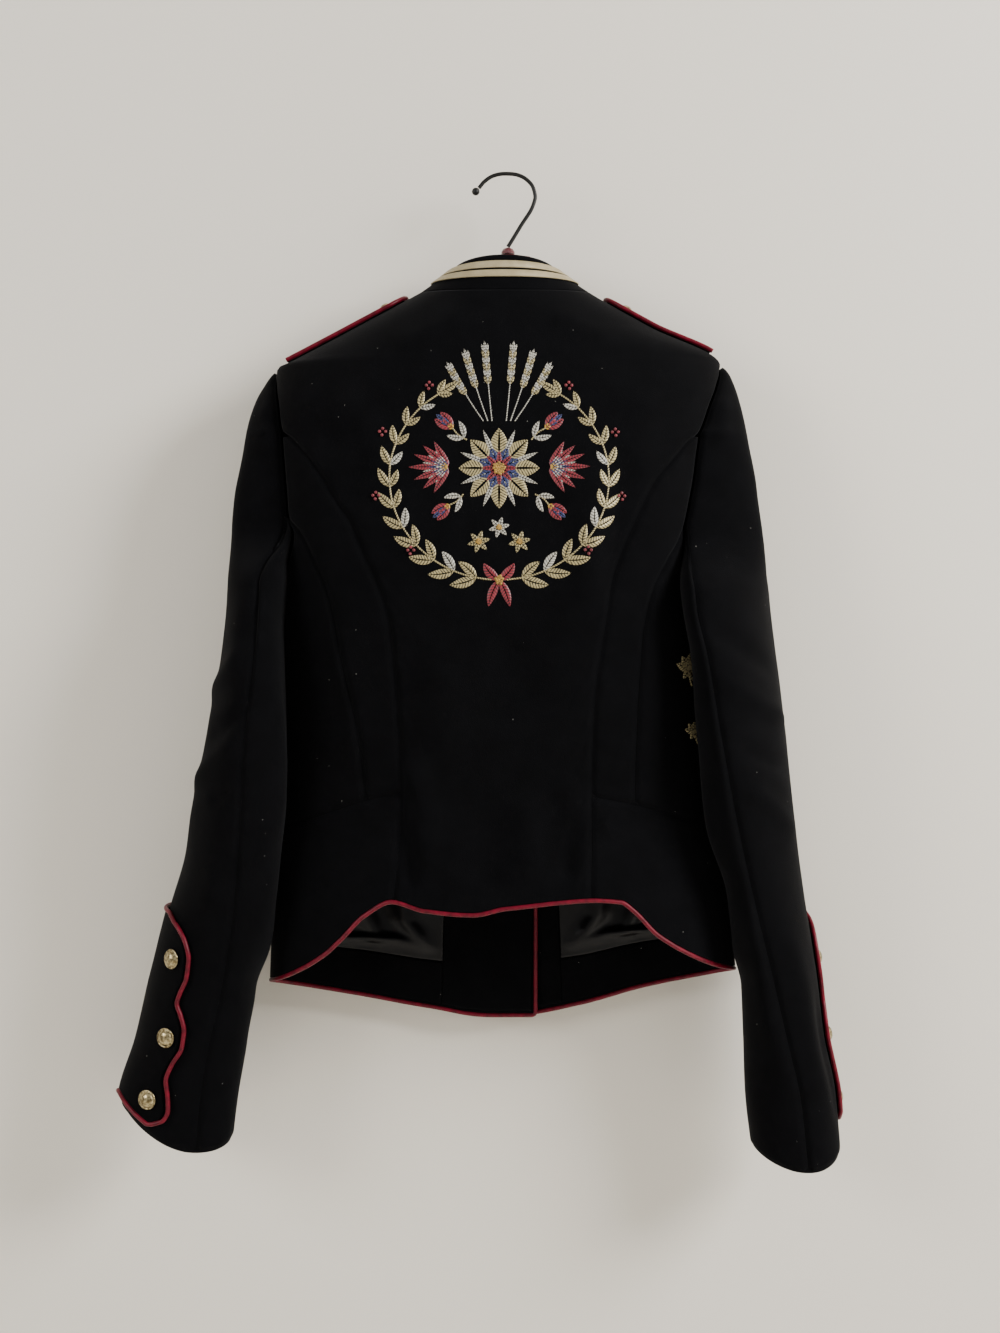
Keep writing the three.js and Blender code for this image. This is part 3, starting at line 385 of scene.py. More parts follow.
def under_sleeve(side):
    def surface(u, v):
        part = np.clip(u, 0, 1)
        top = armhole_bottom(side, part)
        a, b = second_seam(side, top), front_seam(side, top)
        start = body(side, a + (b - a) * part, top)
        start[..., 0] += SIGN[side] * UNDERARM_SPACE * np.sin(math.pi * part)
        angle = QUARTER + math.pi * u
        z = top + (cuff_height(side, angle) - top) * v
        pull = start - sleeve(side, angle, top)
        return sleeve(side, angle, z) + pull * (1 - ease((top - z) / JOIN))[..., None]
    return surface


# ---- collar ----
COLLAR = {"half": 47, "centre": -2.5, "back": -50, "front": 13, "square": 2.2, "thick": 3,
          "lift": 0.2}
RIM_CURVE = 1.5
COLLAR_TOP = {"back": -83, "side": -89, "front": -117}
COLLAR_GAP = 0.02
BRAIDS = {"upper": (0.19, 0.385), "lower": (0.45, 0.64)}


# at runs from 0 at the centre back to 1 at the ridge and 2 at the centre front.
def neckline(side, at):
    back_part = np.minimum(at, 1)
    z = neck_height(side, back_part * round_at_angle(side, RIDGE, NECK["side"]))
    back = body(side, back_part * round_at_angle(side, RIDGE, z), z + COLLAR["lift"])
    ridge = round_at_angle(side, RIDGE, NECK["side"])
    whole = front_edge(side, NECK["side"]) - ridge
    u = np.maximum(0, at - 1) * (round_at_angle(side, math.pi, NECK["side"]) - ridge) / whole
    z = NECK["side"] + (NECK["front"] - NECK["side"]) * u ** NECK_CURVE
    start = round_at_angle(side, RIDGE, z)
    fore = lapped(side, body(side, start + (front_edge(side, z) - start) * u, z + COLLAR["lift"]))
    return np.where((at < 1)[..., None], back, fore)


def collar_top(side, at):
    angle = at * QUARTER
    s, c = np.sin(angle), np.cos(angle)
    q = reach_of(s, c, COLLAR["square"])
    depth = np.where(c > 0, COLLAR["back"], -COLLAR["front"])
    level = np.where(c > 0, COLLAR_TOP["back"], COLLAR_TOP["front"])
    z = COLLAR_TOP["side"] + (level - COLLAR_TOP["side"]) * np.abs(c) ** RIM_CURVE
    return vector(COLLAR["centre"] + SIGN[side] * COLLAR["half"] * s * q, depth * c * q, z)


def collar(low, high):
    def surface(u, v):
        at = np.minimum(2 - COLLAR_GAP, np.abs(u - 0.5) * 2 * (2 - COLLAR_GAP))
        part = (low + (high - low) * v)[..., None]
        halves = [collar_top(side, at) * (1 - part) + neckline(side, at) * part for side in SIDES]
        return np.where((u < 0.5)[..., None], halves[0], halves[1])
    return surface


# ---- epaulettes ----
STRAP = {"left": (-90, -193, 19), "right": (88, 179, 19)}    # inner end, outer end, half width
STRAP_ROUND = 16
STRAP_SPACE = 1.4
STRAP_CROWD = 1.4         # brings the strap's rows closer together at its round end
DROPS, FIRST_DROP = 90, 0.01      # steps down from the ridge, each longer than the last


def ridge_height(side, x):
    z = np.linspace(-100, SHOULDER_END[side], 200)
    return np.interp(np.abs(x), np.abs(read(BODY, side, z)), z)


# The point at a distance from the ridge of the shoulder, down its back (-) or its front (+), at x.
def shoulder(side, x, distance):
    x, distance = np.broadcast_arrays(np.asarray(x, float), np.asarray(distance, float))
    top = ridge_height(side, x)
    p = body(side, round_at_angle(side, RIDGE, top), top)
    left = np.abs(distance)
    done = left <= 0
    for k in range(1, DROPS):
        z = top - FIRST_DROP * k * k
        place = np.where(distance > 0, round_at_x(side, x, z, True), round_at_x(side, x, z))
        after = body(side, place, z)
        step = np.linalg.norm(after - p, axis=-1)
        last = ~done & (step > left)
        whole = ~done & ~last
        t = np.where(last, left / np.maximum(step, 1e-6), 0)
        moved = np.where(whole[..., None], after, p)
        p = np.where(last[..., None], p + (after - p) * t[..., None], moved)
        left = np.where(whole, left - step, left)
        done = done | last
    return p


def strap_half(side, t):
    inner, outer, half = STRAP[side]
    rounded = np.minimum(1, t * abs(outer - inner) / STRAP_ROUND)
    return half * np.sqrt(np.maximum(0.02, 1 - (1 - rounded) ** 2))


def strap(side):
    inner, outer, _ = STRAP[side]
    def surface(u, v):
        t = u ** STRAP_CROWD
        return shoulder(side, inner + (outer - inner) * t, (v * 2 - 1) * strap_half(side, t))
    return surface


# ---- cuff slashes ----
SLASH = {
    "left": table("z edge", (-652, 20), (-662, 38), (-673, 48), (-687, 54), (-703, 55), (-716, 52),
                  (-724, 51), (-735, 57), (-748, 63), (-761, 64), (-776, 59), (-788, 57),
                  (-801, 61), (-813, 63), (-822, 60), (-829, 52)),
    "right": table("z edge", (-656, -38), (-666, -20), (-677, -10), (-691, -4), (-707, -3),
                   (-720, -6), (-728, -7), (-739, -1), (-752, 5), (-765, 6), (-780, 1), (-792, -1),
                   (-805, 3), (-817, 5), (-826, 2), (-832, -8)),
}
SLASH_FRONT = {"left": -34, "right": -80}
SLASH_SPACE, SLASH_THICK = 1.3, 1.6
CUFF_BUTTONS = {
    "left": ((-688, 41), (-755, 52), (-809, 49)),
    "right": ((-694, -18), (-760, -9), (-815, -11)),
}


def slash_level(side, angle, edge_z):
    z = SLASH[side]["z"][0]
    corner = cuff_height(side, SLASH[side]["edge"][1][-1] * DEGREE)
    v = (z[0] - edge_z) / (z[0] - z[-1])
    return edge_z + (cuff_height(side, angle) - corner) * v ** 3


def slash(side):
    z = SLASH[side]["z"][0]
    def surface(u, v):
        edge_z = z[0] + (z[-1] - z[0]) * v
        edge = read(SLASH[side], "edge", edge_z) * DEGREE
        angle = edge + (SLASH_FRONT[side] * DEGREE - edge) * u
        return sleeve(side, angle, slash_level(side, angle, edge_z))
    return surface


# ---- materials ----
def colour(code):
    parts = [int(code[i:i + 2], 16) / 255 for i in (1, 3, 5)]
    linear = [c / 12.92 if c <= 0.04045 else ((c + 0.055) / 1.055) ** 2.4 for c in parts]
    return (*linear, 1.0)


# Adds a node, sets its properties and a ramp's stops, and gives each of its inputs a value, an
# output or another node, whose first output is meant. A shader node's kind has its prefix added.
def node(tree, kind, inputs=None, stops=(), **settings):
    made = tree.nodes.new(kind if "Node" in kind else "ShaderNode" + kind)
    for name, value in settings.items():
        setattr(made, name, value)
    for key, value in (inputs or {}).items():
        value = value.outputs[0] if isinstance(value, bpy.types.Node) else value
        if isinstance(value, bpy.types.NodeSocket):
            tree.links.new(value, made.inputs[key])
        else:
            made.inputs[key].default_value = value
    for k, (position, code) in enumerate(stops):
        made.color_ramp.elements[k].position = position
        made.color_ramp.elements[k].color = colour(code)
    return made


def material(name, base, roughness, **sockets):
    made = bpy.data.materials.new(name)
    made.use_nodes = True
    tree = made.node_tree
    shader = tree.nodes["Principled BSDF"]
    shader.inputs["Base Color"].default_value = colour(base)
    shader.inputs["Roughness"].default_value = roughness
    for key, value in sockets.items():
        shader.inputs[key.replace("_", " ")].default_value = value
    return made, tree, shader


# Gives a material its colours, from one shade to another as a pattern rises, and its relief.
def dressed(tree, shader, pattern=None, stops=(), relief=None, depth_mm=0.0, strength=1.0):
    if stops:
        shades = node(tree, "ValToRGB", {"Fac": pattern}, stops)
        tree.links.new(shades.outputs["Color"], shader.inputs["Base Color"])
    if relief:
        raised = node(tree, "Bump", {"Height": relief, "Distance": depth_mm * MM,
                                     "Strength": strength})
        tree.links.new(raised.outputs["Normal"], shader.inputs["Normal"])


def per_metre(size_mm):
    return 1 / (size_mm * MM)


# Melton wool, fulled and sheared: no weave shows, only a dull nap with a faint sheen, and a few
# specks of lint.
NAP, FELT, LINT = 1.1, 22, 13         # mm across a tuft, a patch of felt and the space of a fleck


def melton():
    base, dark = "#050507", "#010102"
    made, tree, shader = material("melton_wool_navy_black", base, 0.93, Sheen_Weight=0.05,
                                  Sheen_Roughness=0.45, Specular_IOR_Level=0.08)
    shader.inputs["Sheen Tint"].default_value = colour("#a4a4a8")
    place = node(tree, "TexCoord").outputs["Object"]
    nap = node(tree, "TexNoise", {"Vector": place, "Scale": per_metre(NAP), "Detail": 4.0,
                                  "Roughness": 0.7}).outputs["Fac"]
    felt = node(tree, "TexNoise", {"Vector": place, "Scale": per_metre(FELT),
                                   "Detail": 3.0, "Roughness": 0.6}).outputs["Fac"]
    mixed = node(tree, "Math", {0: nap, 1: felt}, operation="MULTIPLY").outputs[0]
    shades = node(tree, "ValToRGB", {"Fac": mixed}, ((0.12, dark), (0.42, base)))
    cells = node(tree, "TexVoronoi", {"Vector": place, "Scale": per_metre(LINT)})
    fleck = node(tree, "Math", {0: cells.outputs["Distance"], 1: 0.026},
                 operation="LESS_THAN").outputs[0]
    shade = node(tree, "SeparateColor", {"Color": cells.outputs["Color"]})
    kept = node(tree, "Math", {0: shade.outputs[0], 1: 0.5}, operation="LESS_THAN")
    speck = node(tree, "Math", {0: fleck, 1: kept.outputs[0]}, operation="MULTIPLY")
    mix = node(tree, "Mix", {"Factor": speck.outputs[0], "A": shades.outputs["Color"],
                             "B": colour("#8e8c86")}, data_type="RGBA")
    tree.links.new(mix.outputs["Result"], shader.inputs["Base Color"])
    dressed(tree, shader, relief=nap, depth_mm=0.35, strength=0.7)
    return made


# Satin-weave cord: dyed rayon over a cotton core, with a soft bright line along it.
def satin_piping():
    made, tree, shader = material("satin_piping_raspberry", "#5c061a", 0.42, Sheen_Weight=0.04,
                                  Sheen_Roughness=0.4, Specular_IOR_Level=0.22)
    shader.inputs["Sheen Tint"].default_value = colour("#e06a86")
    place = node(tree, "TexCoord").outputs["Object"]
    mottling_noise = node(tree, "TexNoise", {"Vector": place, "Scale": per_metre(5),
                                   "Detail": 3.0}).outputs["Fac"]
    twill = node(tree, "TexWave", {"Vector": place, "Scale": per_metre(18),
                                   "Distortion": 1.5}, bands_direction="DIAGONAL")
    dressed(tree, shader, mottling_noise, ((0.3, "#480413"), (0.7, "#700721")), twill.outputs["Fac"],
            0.12, 0.5)
    return made


# Flat metallic braid: tinsel thread woven in a fine chevron, coarser here so that it shows.
CHEVRON = 1.3             # mm between ribs


def metallic_braid():
    made, tree, shader = material("metallic_braid_champagne", "#c2b48f", 0.5, Metallic=0.15,
                                  Specular_IOR_Level=0.6)
    cloth_place = node(tree, "TexCoord").outputs
    place = node(tree, "SeparateXYZ", {"Vector": cloth_place["UV"]}).outputs
    across = node(tree, "Math", {0: place["Y"]}, operation="ABSOLUTE").outputs[0]
    slant = node(tree, "Math", {0: place["X"], 1: across}, operation="ADD").outputs[0]
    turns = node(tree, "Math", {0: slant, 1: 2 * math.pi / CHEVRON}, operation="MULTIPLY")
    rib = node(tree, "Math", {0: turns.outputs[0]}, operation="SINE").outputs[0]
    height = node(tree, "Math", {0: rib, 1: 0.5, 2: 0.5},
                  operation="MULTIPLY_ADD").outputs[0]
    tarnish = node(tree, "TexNoise", {"Vector": cloth_place["Object"],
                                      "Scale": per_metre(9), "Detail": 3.0})
    light = node(tree, "ValToRGB", {"Fac": tarnish.outputs["Fac"]},
                 ((0.3, "#a99b78"), (0.7, "#c3b592")))
    # The hollows between the ribs take the darker colour: painted shade in the weave.
    mix = node(tree, "Mix", {"Factor": height, "A": colour("#94855f"),
                             "B": light.outputs["Color"]}, data_type="RGBA")
    tree.links.new(mix.outputs["Result"], shader.inputs["Base Color"])
    dressed(tree, shader, relief=height, depth_mm=0.2, strength=0.8)
    return made


# Satin lining: smooth black viscose with a bright sheen along its folds.
def satin_lining():
    made, tree, shader = material("satin_lining_black", "#050406", 0.3, Anisotropic=0.4,
                                  Specular_IOR_Level=0.2)
    place = node(tree, "TexCoord").outputs["Object"]
    ripple = node(tree, "TexNoise", {"Vector": place, "Scale": per_metre(14),
                                     "Detail": 2.0}).outputs["Fac"]
    dressed(tree, shader, relief=ripple, depth_mm=0.6, strength=0.5)
    return made


# Stamped brass with a pale gilt finish, darker where its relief is low.
def gilt_brass():
    made, tree, shader = material("pale_gilt_brass", "#d2c6a6", 0.3, Metallic=1.0)
    place = node(tree, "TexCoord").outputs["Object"]
    mottling_noise = node(tree, "TexNoise", {"Vector": place, "Scale": per_metre(2.2),
                                   "Detail": 4.0}).outputs["Fac"]
    dressed(tree, shader, mottling_noise, ((0.38, "#6f6040"), (0.64, "#c2b48c")), mottling_noise, 0.25, 0.5)
    return made


# Cherry-stained beech under clear lacquer, its grain along the bar.
def stained_beech():
    made, tree, shader = material("stained_beech_cherry", "#5a1d22", 0.32, Coat_Weight=0.5,
                                  Coat_Roughness=0.15)
    place = node(tree, "TexCoord").outputs["Object"]
    along_bar = node(tree, "Mapping", {"Vector": place, "Scale": (0.08, 1, 1)})
    grain = node(tree, "TexNoise", {"Vector": along_bar.outputs["Vector"],
                                    "Scale": per_metre(1.8), "Detail": 5.0})
    dressed(tree, shader, grain.outputs["Fac"], ((0.3, "#43141a"), (0.7, "#6d262b")))
    return made


# Steel wire blackened in oil: dark, with a soft highlight.
def blackened_steel():
    made, tree, shader = material("blackened_steel", "#0d0d0c", 0.46, Metallic=0.4)
    place = node(tree, "TexCoord").outputs["Object"]
    dull = node(tree, "TexNoise", {"Vector": place, "Scale": per_metre(3)})
    dressed(tree, shader, dull.outputs["Fac"], ((0.35, "#0a0a09"), (0.7, "#1a1917")))
    return made


# Rayon or metallic embroidery thread, laid in satin stitch: fine ribs across each shape, with
# painted shade in the grooves between the threads.
THREAD = 1.7              # mm from thread to thread, coarser than a real one so that it shows
RIB_SHARE = 0.26          # how much of the relief is the rib, beside the thread's unevenness


def embroidery_thread(name, light, dark, metallic):
    made, tree, shader = material(name, light, 0.42, Metallic=metallic, Sheen_Weight=0.15,
                                  Specular_IOR_Level=0.5)
    cloth_place = node(tree, "TexCoord").outputs
    place = node(tree, "SeparateXYZ", {"Vector": cloth_place["UV"]})
    turns = node(tree, "Math", {0: place.outputs["Y"], 1: 2 * math.pi / THREAD},
                 operation="MULTIPLY")
    rib = node(tree, "Math", {0: turns.outputs[0]}, operation="SINE").outputs[0]
    uneven = node(tree, "TexNoise", {"Vector": cloth_place["Object"], "Detail": 3.0,
                                     "Scale": per_metre(2.4), "Roughness": 0.7})
    height = node(tree, "Math", {0: rib, 1: RIB_SHARE, 2: uneven.outputs["Fac"]},
                  operation="MULTIPLY_ADD").outputs[0]
    # Dark where the relief is low: painted shade between the threads, and real tone where a thread
    # is uneven.
    dressed(tree, shader, height, ((0.22, dark), (0.66, light)), height, 0.25, 0.8)
    return made


FINISHES = {
    "wool": melton(), "piping": satin_piping(), "braid": metallic_braid(),
    "lining": satin_lining(), "button": gilt_brass(), "wood": stained_beech(),
    "steel": blackened_steel(),
}
# Each thread: its own colour, then the dark colour painted as shade between its threads.
THREADS = {
    "gold": embroidery_thread("metallic_thread_gold", "#b3a476", "#2c2514", 0.25),
    "silver": embroidery_thread("rayon_thread_ivory", "#bdb9ac", "#4c4840", 0.05),
    "red": embroidery_thread("rayon_thread_brick_red", "#8c2530", "#2e090e", 0.0),
    "blue": embroidery_thread("rayon_thread_slate_blue", "#2a3466", "#0c1024", 0.0),
    "mustard": embroidery_thread("rayon_thread_mustard", "#b98f34", "#3d2c0c", 0.1),
}


# ---- meshes ----
def put(name, data):
    made = bpy.data.objects.new(name, data)
    bpy.context.collection.objects.link(made)
    return made


def to_mesh(name, points, faces, finish, uv=None):
    mesh = bpy.data.meshes.new(name)
    mesh.from_pydata((np.asarray(points, float) * MM).tolist(), [], faces)
    if uv is not None:
        corners = np.empty(len(mesh.loops), dtype=np.int64)
        mesh.loops.foreach_get("vertex_index", corners)
        layer = mesh.uv_layers.new(name="cloth_mm")
        layer.data.foreach_set("uv", np.asarray(uv, np.float32)[corners].ravel())
    mesh.polygons.foreach_set("use_smooth", np.ones(len(mesh.polygons), dtype=bool))
    mesh.materials.append(finish)
    return put(name, mesh)


# Every finished piece rides on the one body, and the parts of model.glb that it stands for are
# hidden; the embroidery's threads hide none.
def finished(made, slot_name, *nodes):
    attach(made, "root")
    if nodes:
        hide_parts(*nodes)
    return made


def unit(vectors):
    return vectors / np.maximum(np.linalg.norm(vectors, axis=-1, keepdims=True), 1e-9)


def outward(points, out):
    return out * unit(np.cross(np.gradient(points, axis=1), np.gradient(points, axis=0)))


def run_along(points, axis):
    steps = np.linalg.norm(np.diff(points, axis=axis), axis=2)
    start = np.zeros_like(steps[:1] if axis == 0 else steps[:, :1])
    return np.concatenate([start, np.cumsum(steps, axis=axis)], axis=axis)


# Places from 0 to 1, closer together at both ends, where the seams are.
def stations(count, crowd):
    t = np.linspace(0, 1, count + 1)
    return (1 - crowd) * t + crowd * (1 - np.cos(math.pi * t)) / 2


CROWD = 0.62
SEAM_DEPTH, SEAM_WIDTH = 1.9, 3.2      # how the cloth rolls down into a seam
PUCKER, PUCKER_REACH = 0.28, 9.0       # small uneven puckers beside it
PUCKER_WAVES = (3.6, 6.1)              # their two lengths, each over 2 pi


def seam_relief(points, edges, seed):
    across, down = run_along(points, 1), run_along(points, 0)
    away = {"start": across, "end": across[:, -1:] - across, "top": down,
            "bottom": down[-1:] - down}
    run = {"start": down, "end": down, "top": across, "bottom": across}
    height = np.zeros(points.shape[:2])
    wander = np.random.default_rng(seed).uniform(0, 2 * math.pi, 8)
    for k, edge in enumerate(edges):
        d = away[edge]
        height -= SEAM_DEPTH * np.exp(-(d / SEAM_WIDTH) ** 2)
        short, long = PUCKER_WAVES
        wave = np.sin(run[edge] / short + wander[k]) + np.sin(run[edge] / long + wander[k + 4])
        height += PUCKER * wave * np.exp(-d / PUCKER_REACH) * (1 - np.exp(-(d / SEAM_WIDTH) ** 2))
    return height


def numbered(rows, columns):
    return np.arange(rows * columns).reshape(rows, columns)


def quads_of(index):
    corners = [index[:-1, :-1], index[:-1, 1:], index[1:, 1:], index[1:, :-1]]
    return np.stack(corners, -1).reshape(-1, 4)


# The faces of a closed shell: its right side, its wrong side turned round, and its four borders.
def shell_faces(rows, columns, out):
    index, half = numbered(rows, columns), rows * columns
    quads = [quads_of(index), quads_of(index)[:, [0, 3, 2, 1]] + half]
    borders = [(index[0, 1:], index[0, :-1]), (index[-1, :-1], index[-1, 1:]),
               (index[:-1, 0], index[1:, 0]), (index[1:, -1], index[:-1, -1])]
    for e, f in borders:
        quads.append(np.stack([e, f, f + half, e + half], -1))
    quads = np.concatenate(quads)
    return (quads if out > 0 else quads[:, ::-1]).tolist()


def area_of(points):
    a = np.cross(points[:-1, 1:] - points[:-1, :-1], points[1:, :-1] - points[:-1, :-1])
    b = np.cross(points[:-1, 1:] - points[1:, 1:], points[1:, :-1] - points[1:, 1:])
    return (np.linalg.norm(a, axis=2).sum() + np.linalg.norm(b, axis=2).sum()) / 2


SHEETS = []


# A cloth piece between two seams: its right side on the surface, lifted, with its folds, and its
# wrong side a thickness below. It is measured on its own cloth for the size that it was cut.
def cloth(part, surface, columns, rows, out, folds=None, edges=(), lift=0.0, thick=WOOL,
          finish="wool", rests_on=("hanger_body",), seed=1, crowd=CROWD, name=None):
    u, v = np.meshgrid(stations(columns, crowd), stations(rows, crowd))
    points = surface(u, v)
    normal = outward(points, out)
    height = folds(u, v, points) if folds else np.zeros(points.shape[:2])
    outer = points + normal * (lift + height + seam_relief(points, edges, seed))[..., None]
    inner = points + normal * (lift + height - thick)[..., None]
    across, down = run_along(points, 1), run_along(points, 0)
    uv = np.stack([across - across[:, -1:] / 2, -down + down[-1:] / 2], -1).reshape(-1, 2)
    both = np.concatenate([outer.reshape(-1, 3), inner.reshape(-1, 3)])
    made = to_mesh(name or f"{finish}_{part}", both, shell_faces(*points.shape[:2], out),
                   FINISHES[finish], np.concatenate([uv, uv]))
    finished(made, finish, part)
    width, length = across[:, -1].max() * MM, down[-1].max() * MM
    flat_area = min(area_of(points) * MM * MM, width * length)
    SHEETS.append((made, (width, length), flat_area, rests_on))


# ---- folds: soft ridges and troughs along given lines ----
FOLD_DEPTH = 1.5          # deepens all of them together
FOLD_FADE = 0.3           # the share of a fold's length in which it fades at each end


def fold(x, z, path, width, height):
    nearest = np.full(np.shape(x), 1e9)
    at = np.zeros(np.shape(x))
    run = 0.0
    for (ax, az), (bx, bz) in zip(path, path[1:]):
        length = math.hypot(bx - ax, bz - az)
        t = np.clip(((x - ax) * (bx - ax) + (z - az) * (bz - az)) / length ** 2, 0, 1)
        d = np.hypot(x - ax - (bx - ax) * t, z - az - (bz - az) * t)
        at = np.where(d < nearest, run + t * length, at)
        nearest = np.minimum(nearest, d)
        run += length
    fade = ease(at / run / FOLD_FADE) * ease((1 - at / run) / FOLD_FADE)
    return height * np.exp(-(nearest / width) ** 2) * fade


def all_folds(rows, x, z):
    return FOLD_DEPTH * sum(fold(x, z, path, width, height) for path, width, height in rows)


# Each row: the line of the fold in x and z, its width, and how far it stands out or in.
BACK_FOLDS = (
    (((60, -232), (72, -300), (70, -368), (48, -430)), 22, 3.2),
    (((96, -250), (92, -330), (84, -400)), 12, -2.2),
    (((-8, -400), (4, -450), (14, -500)), 34, -3.6),
    (((-60, -410), (-52, -470), (-62, -530)), 20, 2.4),
    (((-84, -500), (-70, -560), (-66, -628)), 11, 3.0),
    (((-92, -560), (-84, -600), (-80, -640)), 7, -2.2),
    (((40, -520), (58, -560), (66, -622)), 13, 2.6),
    (((62, -556), (52, -592), (48, -630)), 8, -2.0),
    (((78, -566), (92, -584)), 6, 1.6),
    (((-150, -196), (-118, -236), (-100, -290)), 15, 2.2),
    (((-172, -214), (-140, -262)), 10, -1.6),
    (((128, -196), (112, -236), (100, -276)), 14, 1.8),
    (((-30, -128), (-60, -150), (-104, -168)), 12, 1.4),
    (((26, -128), (60, -148), (96, -164)), 12, 1.2),
    (((-150, -400), (-130, -470), (-132, -532)), 14, 2.0),
    (((-176, -390), (-168, -460), (-170, -530)), 16, -2.0),
    (((118, -400), (128, -470), (120, -530)), 14, 1.8),
    (((150, -420), (152, -490), (158, -560)), 16, -1.8),
    (((-24, -556), (-14, -600), (-18, -640)), 16, -2.2),
    (((12, -540), (16, -590), (22, -634)), 14, 1.8),
)
# On the front, which is hidden: like the back's, and laid out on its own.
FRONT_FOLDS = (
    (((-120, -230), (-96, -300), (-84, -390)), 20, 2.6),
    (((-60, -200), (-52, -280), (-58, -360)), 15, -1.8),
    (((-92, -430), (-80, -500), (-88, -556)), 18, 2.4),
    (((-40, -470), (-34, -540), (-40, -600)), 14, -1.6),
    (((110, -226), (92, -300), (80, -380)), 18, 2.4),
    (((62, -260), (56, -340), (60, -420)), 14, -1.8),
    (((84, -440), (74, -510), (86, -570)), 16, 2.2),
    (((-130, -600), (-122, -660), (-134, -720)), 16, 2.2),
    (((-78, -606), (-84, -670), (-76, -736)), 15, -1.8),
    (((128, -596), (120, -656), (130, -716)), 16, 2.0),
    (((72, -600), (80, -660), (74, -730)), 14, -1.8),
)
BLEND = 24                # how deep the change is from the back's folds to the front's, from y 0
FRONT_SHARE = 0.8


def body_height(points):
    x, y, z = points[..., 0], points[..., 1], points[..., 2]
    is_back = ease(-y / BLEND)
    fore = all_folds(FRONT_FOLDS, x, z) * (1 - is_back) * FRONT_SHARE
    return all_folds(BACK_FOLDS, x, z) * is_back + fore


def body_folds(u, v, points):
    return body_height(points)


# Round each sleeve: the line of the fold in degrees from the outermost line and in height.
SLEEVE_FOLDS = {
    "left": (
        (((86, -412), (40, -446), (-10, -470)), 9, 2.2),
        (((92, -470), (52, -492), (16, -500)), 7, -2.4),
        (((88, -500), (44, -520), (6, -548)), 8, 2.6),
        (((80, -540), (46, -552)), 6, -1.8),
        (((20, -430), (24, -520), (16, -620)), 14, 1.8),
        (((-30, -380), (-44, -480), (-36, -560)), 15, 2.0),
        (((70, -600), (62, -650)), 9, 1.6),
        (((104, -360), (78, -400), (64, -440)), 9, -1.8),
        (((130, -440), (150, -520), (140, -600)), 12, 2.2),
        (((-80, -500), (-60, -600)), 12, -1.6),
        (((30, -250), (36, -330), (28, -400)), 16, 1.6),
        (((66, -200), (70, -262)), 9, 1.3),
        (((-30, -690), (-44, -780)), 12, 1.2),
        (((176, -640), (160, -760)), 14, 1.6),
    ),
    "right": (
        (((88, -398), (50, -430), (8, -452)), 9, -2.0),
        (((92, -440), (46, -470), (0, -492)), 8, 2.4),
        (((84, -500), (40, -520), (2, -532)), 7, -2.2),
        (((86, -530), (50, -556), (18, -590)), 8, 2.2),
        (((28, -420), (20, -520), (30, -640)), 14, 1.6),
        (((60, -640), (50, -730), (56, -820)), 11, 1.8),
        (((30, -700), (34, -780), (24, -850)), 9, -1.4),
        (((100, -620), (112, -720), (104, -810)), 10, 1.8),
        (((-40, -400), (-30, -500), (-46, -600)), 14, 1.8),
        (((140, -420), (152, -540), (146, -640)), 12, 2.0),
        (((20, -240), (26, -320), (20, -390)), 15, 1.5),
        (((70, -196), (64, -250)), 9, 1.2),
    ),
}
SLEEVE_RADIUS = 40        # mm, which turns degrees round a sleeve to a distance
UNDERNEATH = 200          # degrees, past which a place counts from the other way round
# Where the inside of a sleeve bulges against the body: out in mm, reach in degrees, heights in mm.
SIDE_REST = {"out": 5.4, "reach": 68, "top": -326, "bottom": -716, "fade": 36}


def sleeve_folds(side, angle, z):
    turned = angle / DEGREE
    scale = SLEEVE_RADIUS * DEGREE
    rows = [([(a * scale, height) for a, height in path], width, depth)
            for path, width, depth in SLEEVE_FOLDS[side]]
    wrapped = np.where(turned > UNDERNEATH, turned - 360, turned)
    inner = np.exp(-((np.abs(turned) - 180) / SIDE_REST["reach"]) ** 2)
    fade = SIDE_REST["fade"]
    level = ease((SIDE_REST["top"] - z) / fade) * ease((z - SIDE_REST["bottom"]) / fade)
    return all_folds(rows, wrapped * scale, z) + SIDE_REST["out"] * inner * level


# ---- the cloth pieces ----
def centre_back_surface(u, v):
    part = np.abs(u - 0.5) * 2
    left, right = centre_back("left")(part, v), centre_back("right")(part, v)
    return np.where((u < 0.5)[..., None], left, right)


# Each part of the body on one side: its surface, its columns and rows, its sewn edges and what it
# hangs on.
BODY_PARTS = {
    "side_back": (side_back, 34, 120, ("start", "end", "bottom"), ("centre_back",), 5),
    "side_panel": (side_panel, 64, 90, ("start", "end", "top", "bottom"), ("side_back",), 7),
    "front": (front, 60, 140, ("start", "bottom"), (), 11),
    "peplum": (peplum, 150, 64, ("start", "top"), ("front", "side_panel"), 13),
}


def sew_body():
    cloth("centre_back", centre_back_surface, 150, 200, -1, body_folds, ("start", "end"), seed=3)
    for side in SIDES:
        for part, (surface, columns, rows, edges, under, seed) in BODY_PARTS.items():
            rests_on = [f"wool_{name}" if name == "centre_back" else f"wool_{name}_{side}"
                        for name in under] or ["hanger_body"]
            cloth(f"{part}_{side}", surface(side), columns, rows, -SIGN[side], body_folds, edges,
                  rests_on=rests_on, seed=seed)


def sew_sleeves():
    for side in SIDES:
        for part, surface, columns, rows, way, rests_on, seed in (
                ("top_sleeve", top_sleeve, 70, 190, -1, "wool_centre_back", 17),
                ("under_sleeve", under_sleeve, 50, 150, 1, f"wool_top_sleeve_{side}", 19)):
            creases = lambda u, v, p: sleeve_folds(side, QUARTER + way * math.pi * u, p[..., 2])
            cloth(f"{part}_{side}", surface(side), columns, rows, way * SIGN[side], creases,
                  ("start", "end", "bottom"), rests_on=(rests_on,), seed=seed)


BRAID_THICK, BRAID_LIFT = 1.0, 1.7


